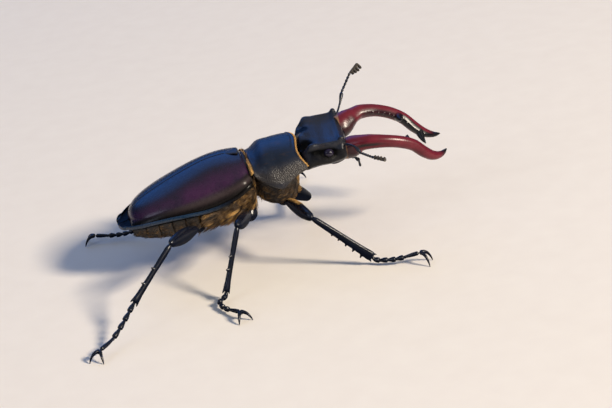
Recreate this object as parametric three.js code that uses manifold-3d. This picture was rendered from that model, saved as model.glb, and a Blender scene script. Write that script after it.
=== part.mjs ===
// A male European stag beetle, life size, standing on its claws with its jaws held low.
// Millimetres. +X is forward, +Y is the beetle's left, +Z is up, and the claws touch z = 0.
import * as THREE from 'three';
import { mergeVertices } from 'three/addons/utils/BufferGeometryUtils.js';
import Module from 'manifold-3d';

const wasm = await Module();
wasm.setup();

// Driving sizes.
const GAP = 0.3;                  // clearance between neighbouring plates and joints
const HINDBODY_PITCH = 8;         // degrees, nose up
const WAIST_HEIGHT = 16.6;        // floor to the wing case rim, at the waist
const ELYTRA_LENGTH = 29.6;
const DOME_END = 0.915;           // station where the wing cases' dome meets the rim's flat rear
const SHELL_THICKNESS = 0.75;
const PRONOTUM_BACK = 0.7;
const PRONOTUM_FRONT = 11.9;
const HEAD_BACK = 11.7;
const HEAD_FRONT = 23.2;
const HEAD_TURN = -5.5;           // degrees, to the beetle's right
const HEAD_TIP = 3.5;             // degrees, right side down
const NECK = [12, 0, 21];

const V = (x, y, z) => new THREE.Vector3(x, y, z);
const radians = THREE.MathUtils.degToRad;
const lerp = THREE.MathUtils.lerp;

// Smooth values between keyed stations. A row is [station, value, value, ...].
function along(rows, t) {
  const last = rows.length - 1;
  let i = 0;
  while (i < last - 1 && t > rows[i + 1][0]) i += 1;
  const slope = (k, c) => {
    const before = rows[Math.max(k - 1, 0)];
    const after = rows[Math.min(k + 1, last)];
    return (after[c] - before[c]) / (after[0] - before[0]);
  };
  const span = rows[i + 1][0] - rows[i][0];
  const u = (t - rows[i][0]) / span;
  const values = [];
  for (let c = 1; c < rows[i].length; c += 1) {
    const start = rows[i][c];
    const end = rows[i + 1][c];
    const leave = slope(i, c) * span;
    const arrive = slope(i + 1, c) * span;
    const bend = 2 * (start - end) + leave + arrive;
    const sag = 3 * (end - start) - 2 * leave - arrive;
    values.push(((bend * u + sag) * u + leave) * u + start);
  }
  return values;
}

// Evenly spaced stations from 0 to 1, both ends included.
const stations = (count) => Array.from({ length: count + 1 }, (_, i) => i / count);

// A closed solid from a triangle geometry, turned the right way out.
function solid(geometry) {
  const bare = geometry.index ? geometry.toNonIndexed() : geometry.clone();
  const points = new THREE.BufferGeometry();
  points.setAttribute('position', bare.getAttribute('position'));
  const merged = mergeVertices(points, 1e-4);
  const vertProperties = merged.attributes.position.array;
  const triVerts = new Uint32Array(merged.index.array);
  const make = () => new wasm.Manifold(new wasm.Mesh({ numProp: 3, vertProperties, triVerts }));
  const made = make();
  if (made.volume() > 0) return made;
  triVerts.reverse();
  return make();
}

// A closed skin through rings of equal point count, each end closed by a fan to its middle.
function loft(rings) {
  const count = rings[0].length;
  const points = rings.flat();
  const index = [];
  for (let i = 0; i + 1 < rings.length; i += 1) {
    for (let j = 0; j < count; j += 1) {
      const k = (j + 1) % count;
      const [a, b, c, d] = [i * count + j, i * count + k, (i + 1) * count + k, (i + 1) * count + j];
      index.push(a, b, c, a, c, d);
    }
  }
  for (const i of [0, rings.length - 1]) {
    const middle = V(0, 0, 0);
    for (const point of rings[i]) middle.addScaledVector(point, 1 / count);
    points.push(middle);
    for (let j = 0; j < count; j += 1) {
      const pair = [i * count + j, i * count + ((j + 1) % count)];
      if (i === 0) pair.reverse();
      index.push(points.length - 1, ...pair);
    }
  }
  const geometry = new THREE.BufferGeometry().setFromPoints(points);
  geometry.setIndex(index);
  return solid(geometry);
}

// A closed thin shell between two grids of points, joined round their borders.
function shell(outer, inner) {
  const rows = outer.length;
  const columns = outer[0].length;
  const at = (layer, i, j) => (layer * rows + i) * columns + j;
  const index = [];
  const quad = (a, b, c, d) => index.push(a, b, c, a, c, d);
  for (let i = 0; i + 1 < rows; i += 1) {
    for (let j = 0; j + 1 < columns; j += 1) {
      quad(at(0, i, j), at(0, i, j + 1), at(0, i + 1, j + 1), at(0, i + 1, j));
      quad(at(1, i, j), at(1, i + 1, j), at(1, i + 1, j + 1), at(1, i, j + 1));
    }
  }
  const strip = (from, to, count, point) => {
    for (let k = 0; k < count; k += 1) {
      quad(point(0, k + from), point(1, k + from), point(1, k + to), point(0, k + to));
    }
  };
  strip(0, 1, columns - 1, (layer, j) => at(layer, 0, j));
  strip(1, 0, columns - 1, (layer, j) => at(layer, rows - 1, j));
  strip(1, 0, rows - 1, (layer, i) => at(layer, i, 0));
  strip(0, 1, rows - 1, (layer, i) => at(layer, i, columns - 1));
  const geometry = new THREE.BufferGeometry().setFromPoints([...outer.flat(), ...inner.flat()]);
  geometry.setIndex(index);
  return solid(geometry);
}

// A limb of oval section. A row is [station, x, y, z, half height, half width]. It is sampled
// at evenly spaced stations, or at the rows themselves when no step count is given. A grown
// limb is larger all round, its ends included.
function limb(rows, steps, sides, up = V(0, 0, 1), grow = 0) {
  const first = rows[0][0];
  const last = rows[rows.length - 1][0];
  const nudge = (last - first) / 100;
  const place = (t) => V(...along(rows, THREE.MathUtils.clamp(t, first, last)));
  const places = steps ? stations(steps).map((u) => lerp(first, last, u)) : rows.map(([t]) => t);
  return loft(places.map((t) => {
    const [x, y, z, high, wide] = along(rows, t);
    const ahead = place(t + nudge).sub(place(t - nudge)).normalize();
    const side = ahead.clone().cross(up).normalize();
    const top = side.clone().cross(ahead);
    const end = (t === last ? grow : 0) - (t === first ? grow : 0);
    return Array.from({ length: sides }, (_, j) => {
      const angle = (2 * Math.PI * j) / sides;
      return V(x, y, z)
        .addScaledVector(ahead, end)
        .addScaledVector(top, (high + grow) * Math.cos(angle))
        .addScaledVector(side, (wide + grow) * Math.sin(angle));
    });
  }));
}

// A straight limb between two points. A girth row is [station, half height, half width].
function rod(from, to, girth, sides, up, grow = 0) {
  const rows = girth.map(([t, high, wide]) => [t, ...V(...from).lerp(V(...to), t), high, wide]);
  return limb(rows, 0, sides, up, grow);
}

// A pointed spine from a root to a tip.
const spine = (root, tip, radius) => rod(root, tip, [[0, radius, radius], [1, 0.16, 0.16]], 4);

const ball = (centre, radii, wide, high) =>
  solid(new THREE.SphereGeometry(1, wide, high).scale(...radii).translate(...centre));

const cut = (from, ...tools) => tools.reduce((left, tool) => left.subtract(tool), from);
const join = (...pieces) => pieces.reduce((sum, piece) => sum.add(piece));

// Everything is cut level with the floor, so that each claw stands on a small flat.
const floor = solid(new THREE.BoxGeometry(140, 140, 8).translate(0, 0, -4));

// Adds one piece of the beetle, as a mesh of its own.
const beetle = new THREE.Group();
function add(name, made, color, roughness) {
  const mesh = made.getMesh();
  const geometry = new THREE.BufferGeometry();
  geometry.setAttribute('position', new THREE.BufferAttribute(mesh.vertProperties, 3));
  geometry.setIndex(new THREE.BufferAttribute(mesh.triVerts, 1));
  const piece = new THREE.Mesh(
    geometry.toNonIndexed(),
    new THREE.MeshStandardMaterial({ color, roughness, metalness: 0 }),
  );
  piece.geometry.computeVertexNormals();
  piece.name = name;
  beetle.add(piece);
}

const BLACK = 0x15141a;
const PLUM = 0x2a1318;
const BURGUNDY = 0x4a0f12;
const SIDES = [['left', 1], ['right', -1]];

// The hindbody's own frame: s runs forward along the body from the waist, h is above the rim.
const pitch = radians(HINDBODY_PITCH);
const hind = (s, y, h) => V(
  s * Math.cos(pitch) - h * Math.sin(pitch),
  y,
  WAIST_HEIGHT + s * Math.sin(pitch) + h * Math.cos(pitch),
);

// The head's own frame, turned and tipped about the neck.
const headTurn = new THREE.Matrix4()
  .makeTranslation(...NECK)
  .multiply(new THREE.Matrix4().makeRotationZ(radians(HEAD_TURN)))
  .multiply(new THREE.Matrix4().makeRotationX(radians(HEAD_TIP)))
  .multiply(new THREE.Matrix4().makeTranslation(...NECK.map((v) => -v)));
const inHead = (x, y, z) => V(x, y, z).applyMatrix4(headTurn);
const headRows = (rows) => rows.map(([t, x, y, z, ...girth]) => [t, ...inHead(x, y, z), ...girth]);

// Wing cases. Rows are [station from waist to tip, half width, crown height, rim height].
const ELYTRA = [
  [0.00, 8.7, 7.3, 1.9],
  [0.05, 9.7, 7.6, 1.5],
  [0.13, 10.4, 8.05, 0.8],
  [0.24, 10.7, 8.15, 0.3],
  [0.36, 10.8, 7.7, 0.3],
  [0.50, 10.5, 6.85, 0.7],
  [0.64, 9.8, 5.85, 1.0],
  [0.77, 8.5, 4.7, 0.9],
  [0.87, 6.8, 3.6, 0.55],
  [0.95, 4.5, 2.4, 0.2],
  [1.00, 1.9, 1.0, 0.0],
];

// The dome closes at DOME_END, and the flat rear of the rim runs on behind it.
const domeShare = (t) => Math.sqrt(Math.max(1 - (t / DOME_END) ** 24, 0));

// The domed arc over the back, from the middle line to the rim, drawn in by an inset.
function dome(t, inset, count) {
  const [width, crown, rim] = along(ELYTRA, t);
  const rise = Math.max((crown - rim) * domeShare(t) - inset, 0.05);
  return stations(count).map((u) => {
    const angle = (u * Math.PI) / 2;
    const y = (width - inset) * Math.sin(angle) ** 0.98;
    return [y, rim + rise * Math.max(Math.cos(angle), 0) ** 0.95];
  });
}

// Scutellum: the small shield between the wing case bases, which are notched round it.
const shieldTop = along(ELYTRA, 0.04)[1] + 0.25;
const shield = (section, grow) => loft(stations(3).map((u) => {
  const wide = lerp(1.9, 0.3, u ** 1.4) + grow;
  const top = shieldTop + 0.2 * Math.sin(u * Math.PI);
  const back = lerp(0.2 + grow, -3.0 - grow, u);
  return section.map(([y, h]) => hind(back, y * wide, top + h));
}));
const notch = shield([[-1, -3], [-1, 2], [1, 2], [1, -3]], GAP);
add('scutellum', shield([[-1, -0.35], [-0.6, 0], [0.6, 0], [1, -0.35], [0, -0.55]], 0), BLACK, 0.4);

// Wing cases: two thin domed shells that meet along the back, each with an upturned side rim.
for (const [side, s] of SIDES) {
  const layer = (inside) => stations(12).map((u) => {
    const t = Math.sin((u * Math.PI) / 2) ** 1.1;
    const [width, , rise] = along(ELYTRA, t);
    const skin = inside ? Math.min(SHELL_THICKNESS, width * 0.3) : 0;
    const lift = inside ? 0.1 : 0.45;
    const arc = dome(t, 0.45 + skin, 6).map(([y, h]) => [Math.max(y, GAP / 2), h + lift]);
    const rim = inside ? [width - 0.1, rise + 0.1] : [width, rise + 0.84];
    const forward = 0.55 * (1 - t) ** 8 - t * ELYTRA_LENGTH;
    return [...arc, rim].map(([y, h]) => hind(forward, s * y, h));
  });
  add(`elytron_${side}`, cut(shell(layer(false), layer(true)), notch), PLUM, 0.3);
}

// Legs: knee, ankle, the points that the foot passes through, the way the claws point, and the
// way that the shin's spines face.
const LEGS = {
  front_right: [[10.35, -17.4, 12.5], [21.7, -21.2, 1.9],
    [[24.4, -22.9, 1.35], [27.0, -24.0, 1.6], [31.0, -25.5, 2.6]], [1.5, -0.7], [0, 0, -1]],
  mid_right: [[-5.5, -19.1, 15.0], [-10.7, -23.0, 2.3],
    [[-12.6, -25.3, 1.2], [-12.0, -28.2, 1.0], [-9.6, -32.7, 1.7]], [0.6, -1.8], [0, 0, 1]],
  hind_right: [[-20.0, -21.0, 15.0], [-30.2, -27.0, 6.2],
    [[-33.6, -31.0, 3.9], [-36.2, -33.7, 2.4], [-39.2, -36.6, 1.9]], [-0.9, -1.5], [0, 0, 1]],
  front_left: [[14.4, 9.4, 5.8], [13.0, 25.0, 2.2],
    [[13.1, 28.1, 1.3], [13.8, 30.3, 1.4], [15.6, 33.4, 2.1]], [0.8, 1.5], [1, 0, 0.3]],
  mid_left: [[-5.0, 18.4, 15.0], [-9.6, 17.8, 2.3],
    [[-11.2, 20.6, 1.2], [-11.9, 23.4, 1.2], [-12.6, 27.8, 1.9]], [-0.3, 1.8], [0, 0, 1]],
  hind_left: [[-15.6, 20.3, 12.4], [-25.2, 20.0, 2.9],
    [[-27.6, 20.6, 1.7], [-30.2, 21.5, 1.5], [-34.3, 22.7, 1.8]], [-1.8, 0.5], [0, 0, 1]],
};

// Coxae, the first leg pieces, are let into the underside. Each is [inner end, hip, radius].
const COXAE = {
  front: [[7.0, 2.0, 12.6], [7.0, 4.6, 12.4], 1.5],
  mid: [[-1.4, 3.8, 11.4], [-1.1, 6.2, 11.3], 1.7],
  hind: [[-12.0, 1.7, 11.1], [-12.8, 7.6, 11.3], 1.45],
};
const COXA_GIRTH = [[0, 0.45, 0.45], [0.18, 0.95, 0.95], [0.82, 0.95, 0.95], [1, 0.5, 0.5]];
const coxaEnd = (pair, s, end, reach) => {
  const [inner, hip, radius] = COXAE[pair];
  const way = V(...hip).sub(V(...inner)).normalize().multiplyScalar(radius * reach);
  return V(...(end ? hip : inner)).add(way).multiply(V(1, s, 1));
};
function coxa(pair, s, grow = 0) {
  const girth = COXA_GIRTH.map(([t, high, wide]) => [t, high * COXAE[pair][2], wide * COXAE[pair][2]]);
  return rod(coxaEnd(pair, s, false, -0.8), coxaEnd(pair, s, true, 0.8), girth, 8, V(1, 0, 0), grow);
}

// Thigh: a flattened spindle from just off the hip to just past the knee.
const FEMUR = [[0, 0.6, 0.55], [0.13, 1.05, 0.8], [0.38, 1.6, 1.0], [0.65, 1.6, 1.05],
  [0.92, 1.05, 0.85], [1, 0.5, 0.45]];
const THIGH_ROOM = [[0, 1.1, 1.0], [0.38, 2.1, 1.5], [0.65, 2.1, 1.5]];
function thigh(leg, s, girth, sides, early = 0) {
  const pair = leg.split('_')[0];
  const hip = coxaEnd(pair, s, true, 0);
  const knee = V(...LEGS[leg][0]);
  const way = knee.clone().sub(hip).normalize();
  const root = hip.clone().addScaledVector(way, COXAE[pair][2] * 0.95 + GAP - early);
  return rod(root, knee.addScaledVector(way, 0.6), girth, sides, V(0, 0, 1));
}

// The room that one pair of legs takes up in the body's underside.
const sockets = (pair) => [coxa(pair, 1, GAP), coxa(pair, -1, GAP)];
const thighRoom = (pair) => SIDES.map(([side, s]) =>
  thigh(`${pair}_${side}`, s, THIGH_ROOM, 6, GAP));

// Belly line. Rows are [station, half width, depth below the rim].
const BELLY = [
  [0.00, 7.0, 5.0],
  [0.12, 8.8, 5.7],
  [0.30, 9.5, 5.8],
  [0.42, 9.7, 5.5],
  [0.60, 9.2, 5.0],
  [0.78, 7.7, 4.0],
  [0.90, 5.4, 2.7],
  [0.96, 3.6, 1.8],
];

// One ring of the trunk: the inside of the wing cases above, the plates of the belly below.
function trunk([t, scale]) {
  const rim = along(ELYTRA, t)[2];
  const [low, depth] = along(BELLY, t);
  const under = Math.min(rim - 0.35, 2.4);
  const roof = dome(t, 0.75 + SHELL_THICKNESS + GAP, 3).map(([y, h]) => [y, h - 0.1]);
  const belly = stations(4).map((u) => {
    const angle = (u * Math.PI) / 2;
    const y = low * scale * Math.max(Math.cos(angle), 0) ** 0.8;
    return [y, under - (depth * scale + under) * Math.sin(angle) ** 0.85];
  });
  const half = [...roof, ...belly];
  const other = half.slice(1, -1).reverse().map(([y, h]) => [-y, h]);
  return [...half, ...other].map(([y, h]) => hind(-t * ELYTRA_LENGTH, y, h));
}

// Pronotum. Rows are [station from base to front, half width, rim height, crown height].
const PRONOTUM = [
  [0.00, 7.6, 20.8, 22.4],
  [0.12, 8.3, 19.3, 23.0],
  [0.30, 9.7, 18.2, 24.5],
  [0.44, 10.3, 17.4, 24.8],
  [0.52, 10.3, 17.5, 24.8],
  [0.62, 10.1, 18.4, 24.85],
  [0.78, 9.7, 19.5, 24.85],
  [1.00, 9.2, 20.4, 24.8],
];
function pronotum(grow) {
  return loft(stations(8).map((u) => {
    const [width, rim, crown] = along(PRONOTUM, u);
    const point = (v, lift, drop) => {
      const back = PRONOTUM_BACK + 0.1 * v ** 2 - grow;
      const front = PRONOTUM_FRONT - 3.8 * v ** 2 + 4.6 * v ** 4 + 2 * grow;
      const arch = Math.max(1 - Math.abs(v) ** 2.2, 0) ** 0.62;
      return V(lerp(back, front, u), v * (width + grow), rim + lift * (crown - rim) * arch + drop);
    };
    const over = stations(12).map((w) => point(Math.sin((w - 0.5) * Math.PI), 1, grow));
    const under = stations(5).map((w) => point(Math.sin((0.5 - w) * Math.PI) * 0.985, 0.25, -0.5 - grow));
    return [...over, ...under];
  }));
}
add('pronotum', pronotum(0), BLACK, 0.4);

// Neck of the hindbody: a short collar that plugs into the back of the prothorax.
const collar = (grow) => rod([-2, 0, 17.4], [3.0, 0, 17.2],
  [[0, 3.5, 7.0], [0.6, 3.5, 6.2], [1, 3.1, 5.4]], 12, V(0, 0, 1), grow);

// Metathorax and mesothorax in one block, and the abdomen with its five belly plates.
const block = loft([[0.015, 0.97], [0.05, 1], [0.1, 1], [0.16, 1], [0.26, 1], [0.415, 0.98]].map(trunk));
const metathorax = cut(join(block, collar(0)), pronotum(GAP), ...sockets('mid'), ...sockets('hind'));
add('metathorax', metathorax, BLACK, 0.45);
const PLATE_LENGTH = 0.096;
const plates = [[0.43, 0.96]];
for (let i = 0; i < 5; i += 1) {
  const front = 0.43 + i * PLATE_LENGTH;
  plates.push([front + 0.018, 1], [front + 0.077, 1.01]);
  if (i < 4) plates.push([front + PLATE_LENGTH, 0.955]);
}
add('abdomen', cut(loft(plates.map(trunk)), ...sockets('hind'), ...thighRoom('hind')), BLACK, 0.45);

// Prosternum: the underside of the prothorax, hung inside the pronotum's rim.
// Rows are [station along x, half width, roof height, floor height].
const PROSTERNUM = [
  [1.2, 6.6, 20.0, 13.8],
  [3.2, 8.0, 18.6, 12.0],
  [5.6, 9.2, 17.9, 11.2],
  [8.0, 9.1, 19.1, 11.0],
  [9.6, 8.6, 19.8, 11.7],
  [10.8, 7.8, 20.2, 13.9],
];
const prosternum = loft(stations(6).map((u) => {
  const x = lerp(1.2, 10.8, u);
  const [width, roof, base] = along(PROSTERNUM, x);
  const under = stations(8).slice(1, -1).map((w) => {
    const angle = w * Math.PI;
    return [width * Math.cos(angle), roof - (roof - base) * Math.sin(angle) ** 0.8];
  });
  return [[-width, roof], [0, roof], [width, roof], ...under].map(([y, z]) => V(x, y, z));
}));
const legRoom = [...sockets('front'), ...thighRoom('front')];
add('prosternum', cut(prosternum, pronotum(GAP), collar(GAP), ...legRoom), BLACK, 0.5);

// Jaws, the left one, from hinge to tip. Rows are [station, x, y, z, half height, half width].
const JAW = [
  [0.00, 22.7, 5.5, 22.2, 2.3, 2.5],
  [0.06, 23.9, 6.4, 22.9, 2.35, 2.4],
  [0.10, 24.8, 6.9, 23.4, 2.1, 2.2],
  [0.15, 25.9, 7.5, 23.85, 1.75, 1.9],
  [0.22, 27.6, 8.2, 24.1, 1.62, 1.6],
  [0.36, 31.0, 8.5, 23.7, 1.4, 1.25],
  [0.50, 34.2, 8.1, 22.7, 1.35, 1.2],
  [0.64, 37.0, 7.4, 21.1, 1.3, 1.25],
  [0.75, 39.1, 6.9, 18.9, 1.25, 1.5],
  [0.84, 41.0, 6.3, 17.4, 1.05, 1.3],
  [0.93, 43.0, 5.3, 16.9, 0.65, 0.75],
  [1.00, 44.6, 4.1, 17.4, 0.22, 0.22],
];
// The left jaw stands prouder at its base than the right one.
const proud = (s, t) => (s > 0 ? Math.max(0.45 - 3 * t, 0) : 0);
const jaw = (s, grow) => limb(
  headRows(JAW.map(([t, x, y, z, high, wide]) => [t, x, s * y, z + proud(s, t), high + proud(s, t), wide])),
  13, 10, V(0.2, 0, 1), grow);

// Teeth on the inner edge: [station, reach inward, lift, forward, root radius].
const TEETH = [
  [0.59, 2.5, 0.4, 0.3, 1.1],
  [0.80, 2.3, -1.9, 0.8, 1.0],
  [0.33, 0.5, 0.1, 0, 0.5],
  [0.42, 0.5, 0.1, 0, 0.5],
  [0.51, 0.5, 0.1, 0, 0.5],
  [0.68, 0.5, 0.1, 0, 0.5],
];
for (const [side, s] of SIDES) {
  const teeth = TEETH.map(([t, reach, lift, forward, radius]) => {
    const [x, y, z, , wide] = along(JAW, t);
    const root = inHead(x, s * (y - wide * 0.3), z);
    return spine(root, inHead(x + forward, s * (y - wide - reach), z + lift), radius);
  });
  add(`mandible_${side}`, join(jaw(s, 0), ...teeth), BURGUNDY, 0.2);
}

// Eyes: low domes on the temples, each let into its own pit.
const eye = (s, grow) => ball(
  inHead(18.5, s * 8.4, 23.4), [1.25 + grow, 1.15 + grow, 1.15 + grow], 8, 6);
for (const [side, s] of SIDES) add(`eye_${side}`, eye(s, 0), 0x1c1630, 0.1);

// Mouth: lip above, chin plate below, and a jointed palp on each side.
const palpRows = (s) => [
  [0, 23.2, s * 3.6, 19.4, 0.35, 0.35],
  [0.3, 24.2, s * 4.1, 19.1, 0.34, 0.34],
  [0.6, 25.0, s * 4.2, 18.2, 0.42, 0.42],
  [1, 25.2, s * 3.9, 16.6, 0.3, 0.3],
];
const palp = (s, grow) => limb(headRows(palpRows(s)), 5, 5, V(1, 0, 0.3), grow);
for (const [side, s] of SIDES) add(`maxillary_palp_${side}`, palp(s, 0), BLACK, 0.4);
const besideMouth = SIDES.flatMap(([, s]) => [jaw(s, GAP), palp(s, GAP)]);
const lip = rod(inHead(23.55, 0, 21.0), inHead(25.1, 0, 20.4),
  [[0, 0.35, 1.7], [0.6, 0.35, 1.5], [1, 0.25, 0.8]], 8);
add('labrum', cut(lip, ...besideMouth), BLACK, 0.4);

// Head. Rows are [station, half width of the crown ridge, of the temples, then the heights
// of the ridge, of the hollow between the ridges, and of the throat].
const HEAD = [
  [0.00, 5.9, 7.5, 23.1, 22.9, 18.3],
  [0.12, 7.1, 8.8, 24.0, 23.7, 18.0],
  [0.26, 7.6, 9.2, 25.4, 24.3, 18.1],
  [0.42, 7.3, 9.5, 25.3, 24.2, 18.6],
  [0.60, 7.6, 9.5, 25.2, 23.9, 18.7],
  [0.76, 7.6, 8.9, 25.4, 24.2, 18.6],
  [0.88, 7.5, 8.8, 26.0, 24.4, 18.8],
  [1.00, 6.5, 7.4, 23.8, 22.3, 19.9],
];
const skull = (drop) => loft(stations(11).map((u) => {
  const [ridge, temple, high, hollow, throat] = along(HEAD, u);
  const low = throat - drop;
  const middle = lerp(low, high, 0.5) - drop;
  const half = [
    [0, hollow],
    [ridge * 0.6, lerp(hollow, high, 0.25)],
    [ridge, high],
    [lerp(ridge, temple, 0.5), lerp(high, middle, 0.35)],
    [temple, middle],
    [temple - 0.7, lerp(middle, low, 0.35)],
    [temple * 0.55, lerp(middle, low, 0.8)],
    [0, low],
  ];
  const other = half.slice(1, -1).reverse().map(([y, z]) => [-y, z]);
  const x = lerp(HEAD_BACK, HEAD_FRONT, u);
  return [...half, ...other].map(([y, z]) => inHead(x + (1 - u) ** 6 * (y / 8) ** 2, y, z));
}));
const eyePits = SIDES.map(([, s]) => eye(s, GAP));
add('head', cut(skull(0), pronotum(GAP + 0.1), ...besideMouth, ...eyePits), BLACK, 0.4);
const chin = rod(inHead(18.6, 0, 17.5), inHead(24.0, 0, 19.0),
  [[0, 0.6, 2.4], [0.4, 0.7, 3.4], [1, 0.45, 2.2]], 10);
add('mentum', cut(chin, skull(GAP), ...besideMouth), BLACK, 0.5);

// Feelers: a long bowed scape, a beaded stalk, and a comb of four leaves.
// Rows are [base, elbow, start of the comb, tip of the comb], way of the bow, way of the leaves.
const FEELERS = {
  left: [[[23.4, 8.9, 24.0], [26.1, 13.2, 27.6], [28.9, 15.2, 30.9], [31.3, 16.6, 32.3]],
    [0.2, 0.1, -0.1], [0.55, 0, -0.6]],
  right: [[[21.5, -9.6, 24.0], [23.7, -12.9, 22.8], [26.0, -15.2, 22.0], [28.4, -16.8, 21.4]],
    [0.2, -0.5, 0.7], [0.1, -0.9, 0.4]],
};
const SCAPE = [[0, 0.4, 0.4], [0.15, 0.28, 0.28], [0.55, 0.28, 0.28], [0.88, 0.45, 0.45], [1, 0.28, 0.28]];
for (const [side] of SIDES) {
  const [joints, bow, leafWay] = FEELERS[side];
  const [base, elbow, comb, tip] = joints.map((p) => V(...p));
  const scape = SCAPE.map(([t, high, wide]) => {
    const at = base.clone().lerp(elbow, t).addScaledVector(V(...bow), Math.sin(Math.PI * t));
    return [t, ...at, high, wide];
  });
  add(`antenna_scape_${side}`, limb(scape, 6, 6), BLACK, 0.35);
  const start = elbow.clone().addScaledVector(comb.clone().sub(elbow).normalize(), 0.55 + GAP);
  const beads = stations(10).map((t, i) => [t, ...(i % 2 ? [0.34, 0.34] : [0.24, 0.24])]);
  add(`antenna_stalk_${side}`, rod(start, comb, beads, 5), BLACK, 0.35);
  const line = tip.clone().sub(comb);
  const out = V(...leafWay);
  out.addScaledVector(line, -out.dot(line) / line.lengthSq()).normalize();
  const foot = comb.clone().addScaledVector(line.clone().normalize(), GAP);
  const leaves = [[0.18, 0.9], [0.42, 1.2], [0.66, 1.4], [0.92, 1.4]].map(([t, reach]) => {
    const root = foot.clone().lerp(tip, t);
    const end = root.clone().addScaledVector(out, reach);
    return rod(root, end, [[0, 0.26, 0.4], [1, 0.25, 0.55]], 4, line);
  });
  const stem = rod(foot, tip, [[0, 0.3, 0.3], [1, 0.45, 0.45]], 6);
  add(`antenna_club_${side}`, join(stem, ...leaves), 0x4b4238, 0.7);
}

// Shins widen to the foot. Spines are [station, reach] down the outer edge.
const TIBIA = {
  front: [[0, 0.5, 0.45], [0.1, 0.68, 0.6], [0.4, 0.8, 0.55],
    [0.8, 1.0, 0.6], [0.96, 1.15, 0.6], [1, 0.9, 0.45]],
  mid: [[0, 0.45, 0.42], [0.1, 0.62, 0.56], [0.5, 0.56, 0.5],
    [0.85, 0.66, 0.56], [0.96, 0.8, 0.64], [1, 0.62, 0.5]],
  hind: [[0, 0.45, 0.42], [0.1, 0.64, 0.58], [0.5, 0.6, 0.52],
    [0.85, 0.68, 0.58], [0.96, 0.8, 0.64], [1, 0.62, 0.5]],
};
const SPINES = {
  front: [[0.3, 0.4], [0.42, 0.45], [0.55, 0.55], [0.68, 0.65], [0.82, 0.8]],
  mid: [[0.4, 0.5], [0.62, 0.6]],
  hind: [[0.38, 0.5], [0.66, 0.6]],
};
for (const [leg, [knee, ankle, foot, toe, spineWay]] of Object.entries(LEGS)) {
  const [pair, side] = leg.split('_');
  const s = side === 'left' ? 1 : -1;
  add(`coxa_${leg}`, coxa(pair, s), BLACK, 0.45);
  add(`femur_${leg}`, cut(thigh(leg, s, FEMUR, 8), coxa(pair, s, GAP)), BLACK, 0.35);

  // Shin, with its spines and two spurs at the end.
  const way = V(...ankle).sub(V(...knee)).normalize();
  const top = V(...knee).addScaledVector(way, 1.05 + GAP);
  const edge = way.clone().cross(V(...spineWay)).cross(way).normalize();
  const spikes = SPINES[pair].map(([t, reach]) => {
    const at = top.clone().lerp(V(...ankle), t);
    const out = along(TIBIA[pair], t)[0] + reach;
    return spine(at, at.clone().addScaledVector(edge, out).addScaledVector(way, reach * 0.7), 0.5);
  });
  const spurs = [-1, 1].map((turn) => {
    const at = top.clone().lerp(V(...ankle), 0.93).addScaledVector(edge, turn * 0.45);
    return spine(at, at.clone().addScaledVector(way, 1.5).addScaledVector(edge, turn * 0.6), 0.4);
  });
  const shin = rod(top, ankle, TIBIA[pair], 8, V(...spineWay));

  // Foot: five joints, each narrow at its base and wider at its end, the last one the longest.
  const start = V(...ankle).addScaledVector(way, GAP);
  const lead = start.clone().addScaledVector(way, 0.7);
  const route = new THREE.CatmullRomCurve3([start, lead, ...foot.map((p) => V(...p))]);
  const joints = [0, 0.2, 0.37, 0.53, 0.69, 1];
  const tread = joints.flatMap((u, i) => {
    const row = (at, radius) => [at, ...route.getPointAt(at), radius, radius];
    return i < 5 ? [row(u, 0.3), row(lerp(u, joints[i + 1], 0.72), 0.52)] : [row(u, 0.36)];
  });
  add(`tibia_${leg}`, join(shin, ...spikes, ...spurs), BLACK, 0.35);
  add(`tarsus_${leg}`, limb(tread, 0, 5), BLACK, 0.4);

  // Claws: a curved pair from one short root, their points on the floor.
  const ahead = V(toe[0], toe[1], 0).normalize();
  const aside = V(-ahead.y, ahead.x, 0);
  const root = route.getPointAt(1).addScaledVector(route.getTangentAt(1), GAP + 0.45);
  const hooks = [-1, 1].map((turn) => {
    const bend = root.clone().addScaledVector(ahead, 1.3).addScaledVector(aside, turn * 0.9);
    const tip = root.clone().addScaledVector(ahead, 1.9).addScaledVector(aside, turn * 1.35);
    tip.z = -0.12;
    const hook = new THREE.QuadraticBezierCurve3(root, bend.add(V(0, 0, 0.1)), tip);
    const rows = stations(3).map((u) => [u, ...hook.getPoint(u), lerp(0.4, 0.2, u), lerp(0.4, 0.2, u)]);
    return limb(rows, 0, 5);
  });
  add(`claws_${leg}`, cut(join(...hooks), floor), BLACK, 0.3);
}

// The origin is on the floor, under the middle of the whole beetle.
const middle = new THREE.Box3().setFromObject(beetle).getCenter(V(0, 0, 0));
beetle.position.set(-middle.x, -middle.y, 0);

const part = new THREE.Group();
part.add(beetle);

export default part;
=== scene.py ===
"""A male European stag beetle, life size, as a museum model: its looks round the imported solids.

Places are in millimetres in the beetle's own frame (origin on the floor under the waist, +X
forward, +Y its left, +Z up) until a piece is made, which puts it in the frame's metres.
"""

import math

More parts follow.
